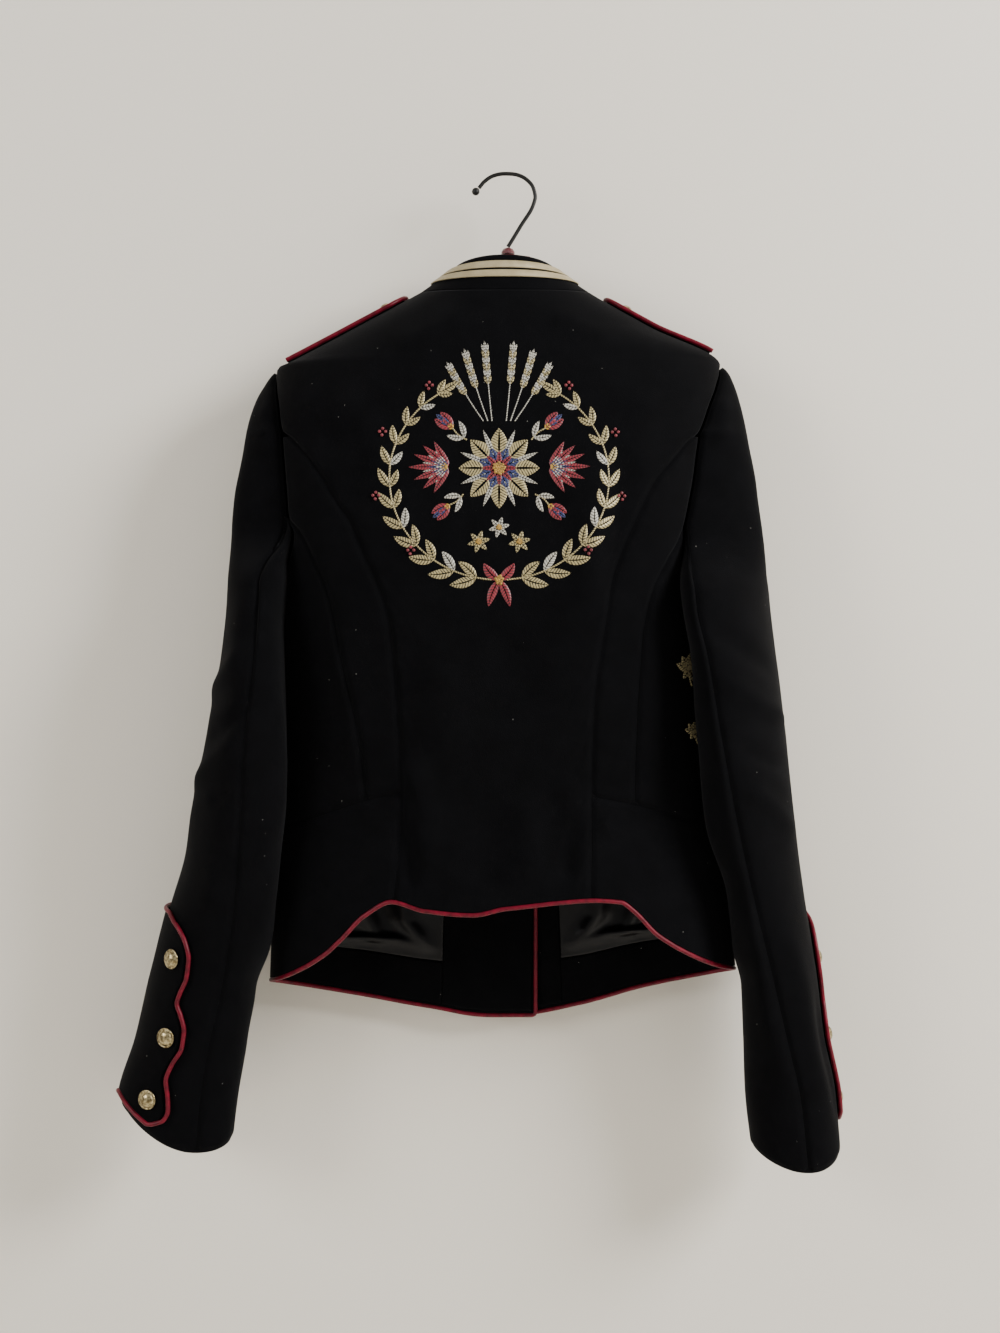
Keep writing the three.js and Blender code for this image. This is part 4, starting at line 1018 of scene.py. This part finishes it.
def sew_collar():
    cloth("collar", collar(0, 1), 160, 16, -1, thick=COLLAR["thick"],
          rests_on=("wool_centre_back",), crowd=0.0)
    for name, (low, high) in BRAIDS.items():
        cloth(f"collar_braid_{name}", collar(low, high), 160, 8, -1, lift=BRAID_LIFT,
              thick=BRAID_THICK, finish="braid", crowd=0.0, name=f"braid_{name}")


def sew_shoulders_and_cuffs():
    for side in SIDES:
        out = -SIGN[side]
        cloth(f"epaulette_{side}", strap(side), 60, 24, -out, lift=STRAP_SPACE + WOOL,
              rests_on=("wool_centre_back",), crowd=0.3)
        def flap_folds(u, v, p):
            edge = read(SLASH[side], "edge", p[..., 2]) * DEGREE
            return sleeve_folds(side, edge + (SLASH_FRONT[side] * DEGREE - edge) * u, p[..., 2])
        cloth(f"cuff_slash_{side}", slash(side), 50, 90, out, flap_folds,
              lift=SLASH_SPACE + SLASH_THICK, thick=SLASH_THICK,
              rests_on=(f"wool_top_sleeve_{side}",), crowd=0.2)


sew_body()
sew_sleeves()
sew_collar()
sew_shoulders_and_cuffs()


# ---- geometry nodes: cords along a route, and knots on points ----
def start_tree(name, **inputs):
    tree = bpy.data.node_groups.new(name, "GeometryNodeTree")
    tree.interface.new_socket(name="Geometry", in_out="OUTPUT", socket_type="NodeSocketGeometry")
    for key, kind in {"Geometry": "Geometry", **inputs, "Finish": "Material"}.items():
        tree.interface.new_socket(name=key, in_out="INPUT", socket_type=f"NodeSocket{kind}")
    return tree, node(tree, "NodeGroupInput").outputs


# Every tree ends with plain, smooth, finished meshes.
def end_tree(tree, shape, given):
    soft = node(tree, "GeometryNodeSetShadeSmooth", {"Geometry": shape})
    real = node(tree, "GeometryNodeRealizeInstances", {"Geometry": soft})
    painted = node(tree, "GeometryNodeSetMaterial",
                   {"Geometry": real, "Material": given["Finish"]})
    node(tree, "NodeGroupOutput", {"Geometry": painted})
    return tree


def sweep_tree():
    tree, given = start_tree("cord_along_route", Radius="Float", Sides="Int")
    route = node(tree, "GeometryNodeMeshToCurve", {"Mesh": given["Geometry"]})
    ring = node(tree, "GeometryNodeCurvePrimitiveCircle",
                {"Resolution": given["Sides"], "Radius": given["Radius"]}, mode="RADIUS")
    tube = node(tree, "GeometryNodeCurveToMesh", {"Curve": route, "Profile Curve": ring,
                                                  "Fill Caps": True})
    return end_tree(tree, tube, given)


def knot_tree():
    tree, given = start_tree("knots_on_points", Radius="Float")
    knot = node(tree, "GeometryNodeMeshIcoSphere", {"Radius": given["Radius"], "Subdivisions": 2})
    turn = node(tree, "FunctionNodeRandomValue", {"Seed": 7}, data_type="FLOAT_VECTOR")
    placed = node(tree, "GeometryNodeInstanceOnPoints",
                  {"Points": given["Geometry"], "Instance": knot, "Rotation": turn})
    return end_tree(tree, placed, given)


SWEEP, KNOTS = sweep_tree(), knot_tree()


# Runs a tree on points, joined by edges or loose, and keeps the result as a plain mesh.
def grown(name, points, edges, tree, **inputs):
    mesh = bpy.data.meshes.new(name + "_route")
    mesh.from_pydata((np.asarray(points, float) * MM).tolist(), edges, [])
    holder = put(name, mesh)
    modifier = holder.modifiers.new("build", "NODES")
    modifier.node_group = tree
    for item in tree.interface.items_tree:
        if item.item_type == "SOCKET" and item.name in inputs:
            modifier[item.identifier] = inputs[item.name]
    holder.update_tag()
    graph = bpy.context.evaluated_depsgraph_get()
    graph.update()
    result = bpy.data.meshes.new_from_object(holder.evaluated_get(graph))
    holder.modifiers.clear()
    holder.data = result
    result.name = name
    return holder


def cord(name, route, radius, sides, finish):
    edges = [(i, i + 1) for i in range(len(route) - 1)]
    return grown(name, route, edges, SWEEP, Radius=radius * MM, Sides=sides, Finish=finish)


# Cuts the corners of a route, keeping its ends.
def softened(points, times):
    points = np.asarray(points, float)
    for _ in range(times):
        a, b = points[:-1], points[1:]
        inner = np.stack([a * 0.75 + b * 0.25, a * 0.25 + b * 0.75], 1).reshape(-1, 3)
        points = np.concatenate([points[:1], inner, points[-1:]])
    return points


# ---- piping ----
PIPING_SIDES = 12
EDGE_STEP = 0.004         # a small share of a panel's way, to feel which way its edge runs
SKIRT_LEVEL = -700.0      # where the shares of the skirt are taken
FACING_START = 0.4        # of the way from the front seam to the front edge


def piped(name, cad, route):
    finished(cord(name, route, PIPING, PIPING_SIDES, FINISHES["piping"]), "piping", cad)


# A route beside the lower edge of a panel, level with the middle of its thickness.
def beside_hem(surface, u, out):
    one = np.ones_like(u)
    here = surface(u, one)
    along_edge = unit(surface(np.minimum(u + EDGE_STEP, 1), one)
                      - surface(np.maximum(u - EDGE_STEP, 0), one))
    down = here - surface(u, one - EDGE_STEP)
    normal = out * unit(np.cross(along_edge, down))
    away = unit(np.cross(along_edge, normal))
    away *= np.sign((away * down).sum(axis=-1, keepdims=True))
    height = body_height(here) - WOOL / 2
    return here + normal * height[..., None] + away * CORD_SPACE


# The share of the way across the skirt of the side's middle or of the front facing's back edge.
def skirt_share(side, kind):
    z = SKIRT_LEVEL
    first, edge, seam = first_seam(side, z), front_edge(side, z), front_seam(side, z)
    place = {"side": (second_seam(side, z) + seam) / 2,
             "facing": seam + (edge - seam) * FACING_START}[kind]
    return float((place - first) / (edge - first))


CORNER_LEVEL, CORNER = -750.0, 6      # the front's lower corner, and where its curve starts
FRONT_CORD_HEIGHTS = np.concatenate([[-700.0, -650], np.arange(-600.0, -180, 12), [-170.0]])


def pipe_hems():
    routes = []
    for side in SIDES:
        u = np.linspace(EDGE_STEP, skirt_share(side, "side"), 90)
        routes.append(beside_hem(peplum(side), u, -SIGN[side]))
    middle = beside_hem(centre_back_surface, np.linspace(0.012, 0.988, 200), -1)
    piped("piping_back_hem", "back_hem_piping",
          np.concatenate([routes[0][::-1], middle, routes[1]]))
    for side in SIDES:
        def at(z, over):
            return lapped(side, body(side, front_edge(side, z) + over, z)) - [0, WOOL / 2, 0]
        u = np.linspace(skirt_share(side, "side") + EDGE_STEP, 0.97, 110)
        start = beside_hem(peplum(side), u, -SIGN[side])
        low = float(hem(side, front_edge(side, CORNER_LEVEL)))
        corner = [at(low - CORD_SPACE, -CORNER), at(low - CORD_SPACE * 0.9, CORD_SPACE * 0.9),
                  at(low + CORNER, CORD_SPACE)]
        edge = at(FRONT_CORD_HEIGHTS, CORD_SPACE)
        route = np.concatenate([start, softened([start[-1], *corner, edge[0]], 3)[1:-1], edge])
        piped(f"piping_front_{side}", f"front_piping_{side}", route)


def pipe_epaulettes():
    for side in SIDES:
        inner, outer, half = STRAP[side]
        length = abs(outer - inner)
        turn = np.linspace(-QUARTER, QUARTER, 31)
        straight = np.linspace(1, STRAP_ROUND / length, 36)[:-1]
        wide = half + CORD_SPACE
        bend = (STRAP_ROUND - (STRAP_ROUND + CORD_SPACE) * np.cos(turn)) / length
        t = np.concatenate([straight, bend, straight[::-1]])
        sides = np.full(len(straight), wide)
        across = np.concatenate([-sides, wide * np.sin(turn), sides])
        route = on_shoulder(side, t, across, PIPING + STRAP_SPACE)[0]
        piped(f"piping_epaulette_{side}", f"epaulette_piping_{side}", route)


def on_shoulder(side, t, across, height):
    inner, outer, _ = STRAP[side]
    flat = lambda a, b: shoulder(side, inner + (outer - inner) * a, b)
    normal = SIGN[side] * unit(np.cross(flat(t + 0.01, across) - flat(t - 0.01, across),
                                        flat(t, across + 1) - flat(t, across - 1)))
    return flat(t, across) + normal * height, normal


def on_sleeve(side, angle, z, height):
    angle, z = np.broadcast_arrays(np.asarray(angle, float), np.asarray(z, float))
    around = sleeve(side, angle + 0.02, z) - sleeve(side, angle - 0.02, z)
    upward = sleeve(side, angle, z + 1) - sleeve(side, angle, z - 1)
    normal = -SIGN[side] * unit(np.cross(around, upward))
    lift = height + sleeve_folds(side, angle, z)
    return sleeve(side, angle, z) + normal * lift[..., None], normal


CORD_TURN = CORD_SPACE / 30   # radians round the cuff, whose radius is about 30
END_STEPS, DOWN_STEPS = 14, 80


def pipe_cuffs():
    for side in SIDES:
        z = SLASH[side]["z"][0]
        edge_at = lambda level: read(SLASH[side], "edge", level) * DEGREE
        front_line = SLASH_FRONT[side] * DEGREE
        top = front_line + (edge_at(z[0]) - front_line) * np.linspace(0.1, 1, END_STEPS)
        down = np.linspace(z[0], z[-1], DOWN_STEPS)[2:-2]
        end = front_line + (edge_at(z[-1]) - front_line) * np.linspace(1, 0.1, END_STEPS)
        angle = np.concatenate([top, edge_at(down) + CORD_TURN, end])
        height = np.concatenate([np.full(END_STEPS, z[0] + CORD_SPACE),
                                 slash_level(side, edge_at(down), down),
                                 slash_level(side, end, np.full(END_STEPS, z[-1])) - CORD_SPACE])
        route, _ = on_sleeve(side, angle, height, PIPING + SLASH_SPACE)
        piped(f"piping_cuff_slash_{side}", f"cuff_slash_piping_{side}", softened(route, 1))


# ---- buttons: a stamped shell with a rolled rim and a low dome, on a shank behind the cloth ----
BUTTON_RADIUS, BUTTON_SIDES = 8.5, 36
# Radius as a share of the whole, and height in mm.
BUTTON_PROFILE = ((0.0, 0.0), (0.86, 0.0), (0.95, 0.25), (1.0, 0.95), (0.985, 1.55), (0.93, 1.9),
                  (0.87, 1.85), (0.83, 1.6), (0.80, 1.75), (0.74, 2.6), (0.64, 3.45), (0.5, 4.2),
                  (0.34, 4.7), (0.17, 4.95), (0.0, 5.0))


def button(kind, i, place, normal, radius=BUTTON_RADIUS):
    normal = unit(np.asarray(normal, float))
    aside = unit(np.cross(normal, [0.0, 0.3, 1.0]))
    up = np.cross(aside, normal)
    points, faces = [], []
    for share, height in BUTTON_PROFILE[1:-1]:
        for k in range(BUTTON_SIDES):
            turn = 2 * math.pi * k / BUTTON_SIDES
            around = aside * math.cos(turn) + up * math.sin(turn)
            points.append(place + around * radius * share + normal * height)
    rings = len(BUTTON_PROFILE) - 2
    top, bottom = len(points) + 1, len(points)
    points.extend([place, place + normal * BUTTON_PROFILE[-1][1]])
    for k in range(BUTTON_SIDES):
        after = (k + 1) % BUTTON_SIDES
        for start in range(0, (rings - 1) * BUTTON_SIDES, BUTTON_SIDES):
            a, b = start + k, start + after
            faces.append([a, a + BUTTON_SIDES, b + BUTTON_SIDES, b])
        last = (rings - 1) * BUTTON_SIDES
        faces.extend([[k, after, bottom], [last + after, last + k, top]])
    finished(to_mesh(f"button_{kind}_{i}", points, faces, FINISHES["button"]), "button",
             f"{kind}_button_{i}")


FRONT_BUTTONS = (-185.0, -245.0, -305.0, -365.0, -425.0, -485.0, -545.0)
BUTTON_INSET = 17
SMALL_BUTTON = 0.85       # an epaulette's button against a cuff's
AIR = 0.3                 # left under a button and behind a facing


def sew_buttons():
    for side in SIDES:
        for i, (z, turned) in enumerate(CUFF_BUTTONS[side]):
            seat = on_sleeve(side, turned * DEGREE, z, SLASH_SPACE + SLASH_THICK + AIR)
            button("cuff", f"{side}_{i + 1}", *seat)
        inner, outer, _ = STRAP[side]
        share = np.array(STRAP_ROUND / abs(outer - inner))
        seat = on_shoulder(side, share, np.array(0.0), STRAP_SPACE + WOOL + AIR)
        button("epaulette", side, *seat, BUTTON_RADIUS * SMALL_BUTTON)
    for i, z in enumerate(FRONT_BUTTONS):
        place = body("right", front_edge("right", z) - BUTTON_INSET, z) + [0, AIR, 0]
        button("front", i + 1, place + [0, float(body_height(place)), 0], (0, 1, 0))


# ---- what shows of the inside of the fronts, below the back hem ----
# Soft folds of the lining: by the share across and down, then width and height.
LINING_FOLDS = (
    (((0.05, 0.2), (0.2, 0.7), (0.3, 1.0)), 0.06, 3.6),
    (((0.22, 0.1), (0.34, 0.55), (0.46, 0.95)), 0.035, 2.6),
    (((0.5, 0.0), (0.56, 0.5), (0.7, 1.0)), 0.06, 3.4),
    (((0.75, 0.2), (0.8, 0.6), (0.95, 0.95)), 0.05, 2.8),
    (((0.0, 0.75), (0.35, 0.9), (0.75, 0.82), (1.0, 0.9)), 0.05, 2.6),
    (((0.1, 0.45), (0.3, 0.52), (0.5, 0.42)), 0.05, 1.8),
)
# Each part's finish, where it starts and ends across the skirt, and its shares down it.
INSIDE_PARTS = (("front_facing", "wool", "facing", "end", 0.25, 0.985),
                ("hem_facing", "wool", "side", "facing", 0.76, 0.985),
                ("front_lining", "lining", "side", "facing", 0.25, 0.75))
PART_GAP, FRONT_END = 0.001, 0.995


def lining_folds(u, v, points):
    return body_height(points) - np.maximum(0, all_folds(LINING_FOLDS, u, v))


def line_fronts():
    for side in SIDES:
        skirt = peplum(side)
        for part, finish, start, end, top, bottom in INSIDE_PARTS:
            a = skirt_share(side, start) + PART_GAP
            b = FRONT_END if end == "end" else skirt_share(side, end) - PART_GAP
            patch = lambda u, v: skirt(a + (b - a) * u, top + (bottom - top) * v)
            folds = lining_folds if finish == "lining" else body_folds
            cloth(f"{part}_{side}", patch, 80, 40, -SIGN[side], folds, lift=-WOOL - AIR,
                  thick=SATIN, finish=finish, rests_on=(f"wool_peplum_{side}",), crowd=0.2)


# ---- hanger ----
HOOK = ((0.9, -63.4), (6, -55.2), (13.2, -43.3), (21, -31.4), (24.6, -22.3), (25, -16.8),
        (22.3, -8.6), (16, -2.3), (8.7, 0.9), (0.9, 1.75), (-6.8, 1.4), (-14.1, -0.9),
        (-20.5, -5.5), (-25, -10.9))
WIRE = 1.75
TIP, TIP_RADIUS = (-27.9, 0.0, -14.1), 3.6


BETWEEN = 6               # steps from a point of a curve to the next


# A curve through every point.
def through(points):
    points = np.asarray(points, float)
    ends = np.concatenate([[2 * points[0] - points[1]], points, [2 * points[-1] - points[-2]]])
    t = (np.arange(BETWEEN) / BETWEEN)[None, :, None]
    p0, p1, p2, p3 = (ends[k:len(points) - 1 + k][:, None, :] for k in range(4))
    path = 0.5 * (2 * p1 + (p2 - p0) * t + (2 * p0 - 5 * p1 + 4 * p2 - p3) * t ** 2
                  + (3 * p1 - p0 - 3 * p2 + p3) * t ** 3)
    return np.concatenate([path.reshape(-1, points.shape[1]), points[-1:]])


def build_hanger():
    steel = FINISHES["steel"]
    route = through([(x, 0.0, z) for x, z in HOOK])
    finished(cord("steel_hook", route, WIRE, 20, steel), "steel", "hanger_hook")
    tip = grown("steel_hook_tip", [TIP], [], KNOTS, Radius=TIP_RADIUS * MM, Finish=steel)
    finished(tip, "steel", "hanger_hook_tip")
    for name in ("hanger_body", "hanger_knob"):
        bar = bpy.data.objects[name]
        bar.data.materials.clear()
        bar.data.materials.append(FINISHES["wood"])


# ---- embroidery on the back: a laurel wreath with a rosette, tulips, wheat and daisies ----
EMBROIDERY_CENTRE = (-7.0, -272.0)
DOME, TUCK = 0.75, 0.25       # how far a stitched shape stands out, and its edge goes in
VEIN = 0.12               # share of the half width left bare along the vein
SLANT = 0.7               # how much a thread follows the leaf's length
BERRIES = ((11, 4), (14, 1), (13.5, 6.5), (16, 4))


# The points on the back of the jacket at x and z, lifted off its folds.
def on_back(x, z, lift):
    side_points = {}
    for side in SIDES:
        base = body(side, round_at_x(side, x, z), z)
        step = body(side, round_at_x(side, x, z + 1), z + 1) - base
        aside = body(side, round_at_x(side, x + SIGN[side], z), z) - base
        normal = -SIGN[side] * unit(np.cross(step, aside))
        side_points[side] = (base, normal)
    left = (x < read(BODY, "centre", z))[..., None]
    base = np.where(left, side_points["left"][0], side_points["right"][0])
    normal = np.where(left, side_points["left"][1], side_points["right"][1])
    return base + normal * (lift + body_height(base))[..., None]


STITCHED = {thread: [] for thread in THREADS}
KNOTTED = {thread: [] for thread in THREADS}


# A satin-stitched leaf or petal, split along its vein, its threads slanting away from the vein.
def leaf(thread, x, z, heading, length, width, bend=0.0, blunt=0.5):
    s, t = np.meshgrid(np.linspace(0, 1, 11), np.linspace(VEIN, 1, 4), indexing="ij")
    angle = (heading + bend * s) * DEGREE
    middle = (heading + bend * s / 2) * DEGREE
    profile = np.maximum(0, np.sin(math.pi * s ** (1.25 - blunt * 0.7))) ** 0.75 * width / 2
    for way in (1, -1):
        px = x + length * s * np.cos(middle) - way * profile * t * np.sin(angle)
        pz = z + length * s * np.sin(middle) + way * profile * t * np.cos(angle)
        rise = np.sin(math.pi * np.clip(0.12 + 0.88 * t, 0, 1)) ** 0.6
        rise *= np.sin(math.pi * (0.06 + 0.88 * s)) ** 0.4
        rib = length * s * SLANT - profile * t * (1 - SLANT) * 1.4
        STITCHED[thread].append((px, pz, DOME * rise - TUCK * (t > 0.9), rib, way))


# A line of satin stitch along a path in x and z.
def stem(thread, path, width):
    path = through(path)
    ahead = np.gradient(path, axis=0)
    ahead /= np.linalg.norm(ahead, axis=1, keepdims=True)
    t = np.linspace(-1, 1, 5)[None, :]
    px = path[:, :1] - ahead[:, 1:] * t * width / 2
    pz = path[:, 1:] + ahead[:, :1] * t * width / 2
    run = np.concatenate([[0], np.cumsum(np.linalg.norm(np.diff(path, axis=0), axis=1))])[:, None]
    lift = DOME * 0.8 * (np.cos(t * QUARTER * 0.98) + 0 * run) - TUCK * (np.abs(t) > 0.9)
    STITCHED[thread].append((px, pz, lift, run * 0.8 + t * 0.5, 1))


def flower(x, z, count, rows, turn=90.0):
    for thread, start, length, width, shift in rows:
        for k in range(count):
            heading = turn + shift * 360 / count + 360 * k / count
            root = (x + start * math.cos(heading * DEGREE), z + start * math.sin(heading * DEGREE))
            leaf(thread, *root, heading, length, width, blunt=0.9)


def seed_head(thread, x, z, radius, count):
    golden = math.pi * (3 - math.sqrt(5))
    for k in range(count):
        reach = radius * math.sqrt(k / count)
        turned = k * golden
        KNOTTED[thread].append((x + reach * math.cos(turned), z + reach * math.sin(turned)))


WREATH = {"wide": 92.0, "high": 86.0, "pairs": 12, "sweep": 148.0}


def wreath_point(way, turned):
    cx, cz = EMBROIDERY_CENTRE
    return (cx + way * WREATH["wide"] * math.sin(turned * DEGREE),
            cz - 8 - WREATH["high"] * math.cos(turned * DEGREE))


def stitch_wreath():
    for way in (-1, 1):
        turns = np.linspace(4, WREATH["sweep"], 15)
        stem("gold", [wreath_point(way, turned) for turned in turns], 1.7)
        for k in range(WREATH["pairs"]):
            turned = 12 + (WREATH["sweep"] - 14) * k / (WREATH["pairs"] - 1)
            x, z = wreath_point(way, turned)
            ahead = turned if way > 0 else 180 - turned
            size = 1.0 - 0.035 * k
            uneven = 2.5 * math.sin(2.1 * k + way)
            leaf("gold", x, z, ahead - way * 42 + uneven, 23 * size, 9.5 * size, bend=way * 26)
            leaf("silver" if k % 3 == 1 else "gold", x, z, ahead + way * 44 - uneven, 20 * size,
                 8.5 * size, bend=-way * 24)
            if k % 3 == 2:
                bx, bz = wreath_point(way, turned + 4.5)
                KNOTTED["red"].extend((bx + way * dx, bz + dz) for dx, dz in BERRIES)
        x, z = wreath_point(way, WREATH["sweep"])
        leaf("gold", x, z, (WREATH["sweep"] if way > 0 else 180 - WREATH["sweep"]), 17, 7)
    x, z = wreath_point(1, 0)
    for way in (-1, 1):
        leaf("red", x, z, 90 - way * 62, 19, 9, bend=way * 40)
        leaf("red", x, z, -90 + way * 34, 24, 8, bend=-way * 24)
    seed_head("mustard", x, z, 3.6, 12)


def stitch_rosette():
    x, z = EMBROIDERY_CENTRE
    flower(x, z, 8, (("gold", 13.0, 21.0, 16.0, 0.0), ("silver", 12.0, 23.0, 5.0, 0.5),
                     ("blue", 7.5, 13.0, 8.0, 0.5), ("red", 4.5, 10.5, 5.6, 0.0)))
    seed_head("mustard", x, z, 5.0, 24)


def stitch_tulip(x, z, heading, size=1.0):
    ahead = np.array([math.cos(heading * DEGREE), math.sin(heading * DEGREE)])
    aside = np.array([-ahead[1], ahead[0]])
    foot = np.array([x, z])
    head = foot + ahead * 16 * size
    stem("gold", [foot, foot + ahead * 8 * size + aside * 1.4, head], 1.5)
    for way in (-1, 1):
        leaf("silver", *(foot + ahead * 3 * size), heading + way * 50, 15 * size, 5.5 * size,
             bend=-way * 36)
        leaf("red", *head, heading + way * 24, 17 * size, 8.5 * size, bend=-way * 22)
    leaf("blue", *(head + ahead * 2.5), heading, 15.5 * size, 6.5 * size)
    leaf("mustard", *(head - ahead * 1.0), heading, 6.5 * size, 6.0 * size)


def stitch_wheat(x, z, heading, length):
    def at(s):
        turned = (heading + 0.12 * (90 - heading) * s) * DEGREE
        return x + length * s * math.cos(turned), z + length * s * math.sin(turned)
    stem("silver", [at(s) for s in (0, 0.35, 0.7, 1.0)], 1.1)
    for k in range(6):
        for way in (-1, 1):
            leaf("silver" if k % 2 else "gold", *at(0.52 + 0.09 * k), heading + way * 27, 8.0, 2.9,
                 bend=-way * 14)
    leaf("silver", *at(1.0), heading, 8.0, 2.8)


def stitch_daisy(x, z, size, petals="silver"):
    flower(x, z, 6, ((petals, 2.6 * size, 9.5 * size, 5.6 * size, 0.0),), turn=74.0)
    seed_head("mustard", x, z, 2.4 * size, 7)


# A fan of narrow petals: ivory tips over red, with blue and mustard at its root.
def stitch_palmette(x, z, heading):
    for thread, length, width, spread, count in (
            ("red", 33, 7.5, 62, 7), ("silver", 23, 4.0, 52, 6), ("blue", 18, 5.5, 46, 5),
            ("mustard", 10, 4.5, 34, 3)):
        for k in range(count):
            aside = 2 * k / (count - 1) - 1
            leaf(thread, x, z, heading + spread * aside, length * (1 - 0.25 * abs(aside)), width,
                 blunt=0.95)


# Two half-flowers on the right side panel, under the arm.
def stitch_side_sprigs():
    for x, z, size in ((157.5, -440, 1.0), (163.5, -495, 0.7)):
        for k in range(5):
            heading = 90 + (k - 2) * 36
            leaf("gold", x, z, heading, 13 * size, 9.5 * size, blunt=0.95)
        leaf("gold", x, z, -64, 12 * size, 7 * size)
        leaf("gold", x, z, -118, 10 * size, 6 * size)
        stem("gold", [(x, z), (x + 1.5, z - 9 * size), (x + 3.5, z - 15 * size)], 1.4)


def stitch_back():
    cx, cz = EMBROIDERY_CENTRE
    stitch_wreath()
    stitch_rosette()
    for way in (-1, 1):
        mirrored = lambda heading: heading if way > 0 else 180 - heading
        stitch_tulip(cx + way * 27, cz + 24, mirrored(40))
        stitch_tulip(cx + way * 30, cz - 22, mirrored(-38), 0.95)
        stitch_palmette(cx + way * 43, cz + 1, mirrored(0))
        stitch_daisy(cx + way * 17, cz - 62, 0.8, "gold")
        for heading, length in ((84, 62), (70, 58), (55, 52)):
            aside = way * (6 + (84 - heading) * 0.25)
            stitch_wheat(cx + aside, cz + 40, mirrored(heading), length)
    stitch_daisy(cx, cz - 50, 0.75)


KNOT_LIFT, KNOT_RADIUS = 0.7, 1.35


# Turns what has been stitched so far into one piece for each thread, on the back's surface.
def finish_stitching(suffix=""):
    made = []
    for thread, grids in STITCHED.items():
        if not grids:
            continue
        points, uv, faces, start = [], [], [], 0
        for px, pz, lift, rib, way in grids:
            quads = quads_of(numbered(*px.shape)) + start
            faces.extend((quads if way < 0 else quads[:, ::-1]).tolist())
            points.append(np.stack([px.ravel(), pz.ravel(), lift.ravel()], -1))
            uv.append(np.stack([np.zeros(px.size), (rib + 0 * px).ravel()], -1))
            start += px.size
        placed = on_back(*np.concatenate(points).T)
        made.append(to_mesh(f"embroidery_{thread}{suffix}", placed, faces, THREADS[thread],
                            np.concatenate(uv)))
        grids.clear()
    for thread, spots in KNOTTED.items():
        if spots:
            x, z = np.array(spots, float).T
            made.append(grown(f"knots_{thread}{suffix}", on_back(x, z, np.full(len(x), KNOT_LIFT)),
                              [], KNOTS, Radius=KNOT_RADIUS * MM, Finish=THREADS[thread]))
            spots.clear()
    return [finished(piece, None) for piece in made]


pipe_hems()
pipe_epaulettes()
pipe_cuffs()
sew_buttons()
line_fronts()
build_hanger()
stitch_back()
BACK_STITCHING = finish_stitching()
stitch_side_sprigs()
SIDE_STITCHING = finish_stitching("_side")


# ---- camera, light and stage ----
EYE = (-6.25, -1435.0, -438.2)
LENS = 43.4


def place_camera():
    camera = bpy.data.cameras.new("camera")
    camera.sensor_fit = "VERTICAL"
    camera.sensor_height = 36
    camera.lens = LENS
    holder = put("camera", camera)
    holder.location = [value * MM for value in EYE]
    holder.rotation_euler = (QUARTER, 0, 0)
    bpy.context.scene.camera = holder


WALL = 48.0               # mm from the hook to the wall
FLOOR, WALL_TOP, REACH = -1350.0, 1600, 3000.0


def plane(name, corners, finish):
    to_mesh(name, corners, [[0, 1, 2, 3]], finish)


# The wall can be seen through from behind, so that no view is blocked by it.
def build_stage():
    paint, tree, shader = material("eggshell_wall_paint", "#eae3d6", 0.9)
    behind = node(tree, "NewGeometry").outputs["Backfacing"]
    clear = node(tree, "BsdfTransparent")
    mix = node(tree, "MixShader", {0: behind, 1: shader.outputs[0], 2: clear.outputs[0]})
    tree.links.new(mix.outputs[0], tree.nodes["Material Output"].inputs["Surface"])
    plane("wall", [(-REACH, WALL, FLOOR), (REACH, WALL, FLOOR), (REACH, WALL, WALL_TOP),
                   (-REACH, WALL, WALL_TOP)], paint)
    floor_paint, _, _ = material("pale_floor", "#dcd8d0", 0.8)
    plane("floor", [(-REACH, -REACH, FLOOR), (REACH, -REACH, FLOOR), (REACH, REACH, FLOOR),
                    (-REACH, REACH, FLOOR)], floor_paint)
    world = bpy.data.worlds.new("pale_room")
    bpy.context.scene.world = world
    world.use_nodes = True
    sky = world.node_tree.nodes["Background"]
    sky.inputs["Color"].default_value = colour("#eeece8")
    sky.inputs["Strength"].default_value = 0.55


def hang_lamp(name, place, target, size, watts):
    lamp = bpy.data.lights.new(name, "AREA")
    lamp.shape = "DISK"
    lamp.size = size
    lamp.energy = watts
    holder = put(name, lamp)
    holder.location = place
    holder.rotation_euler = (Vector(target) - Vector(place)).to_track_quat("-Z", "Y").to_euler()


place_camera()
build_stage()
hang_lamp("window_light", (2.2, -1.3, 0.7), (0.6, 0, -0.35), 1.1, 116)
hang_lamp("fill_light", (-1.9, -1.5, 0.3), (-0.15, 0, -0.6), 1.2, 30)
hang_lamp("back_light", (0.6, 1.9, 0.8), (0, 0, -0.4), 1.5, 34)

NARROWEST = 0.01          # metres; a braid is narrower than a sheet may be
for made, flat, flat_area, rests_on in SHEETS:
    min(flat) > NARROWEST
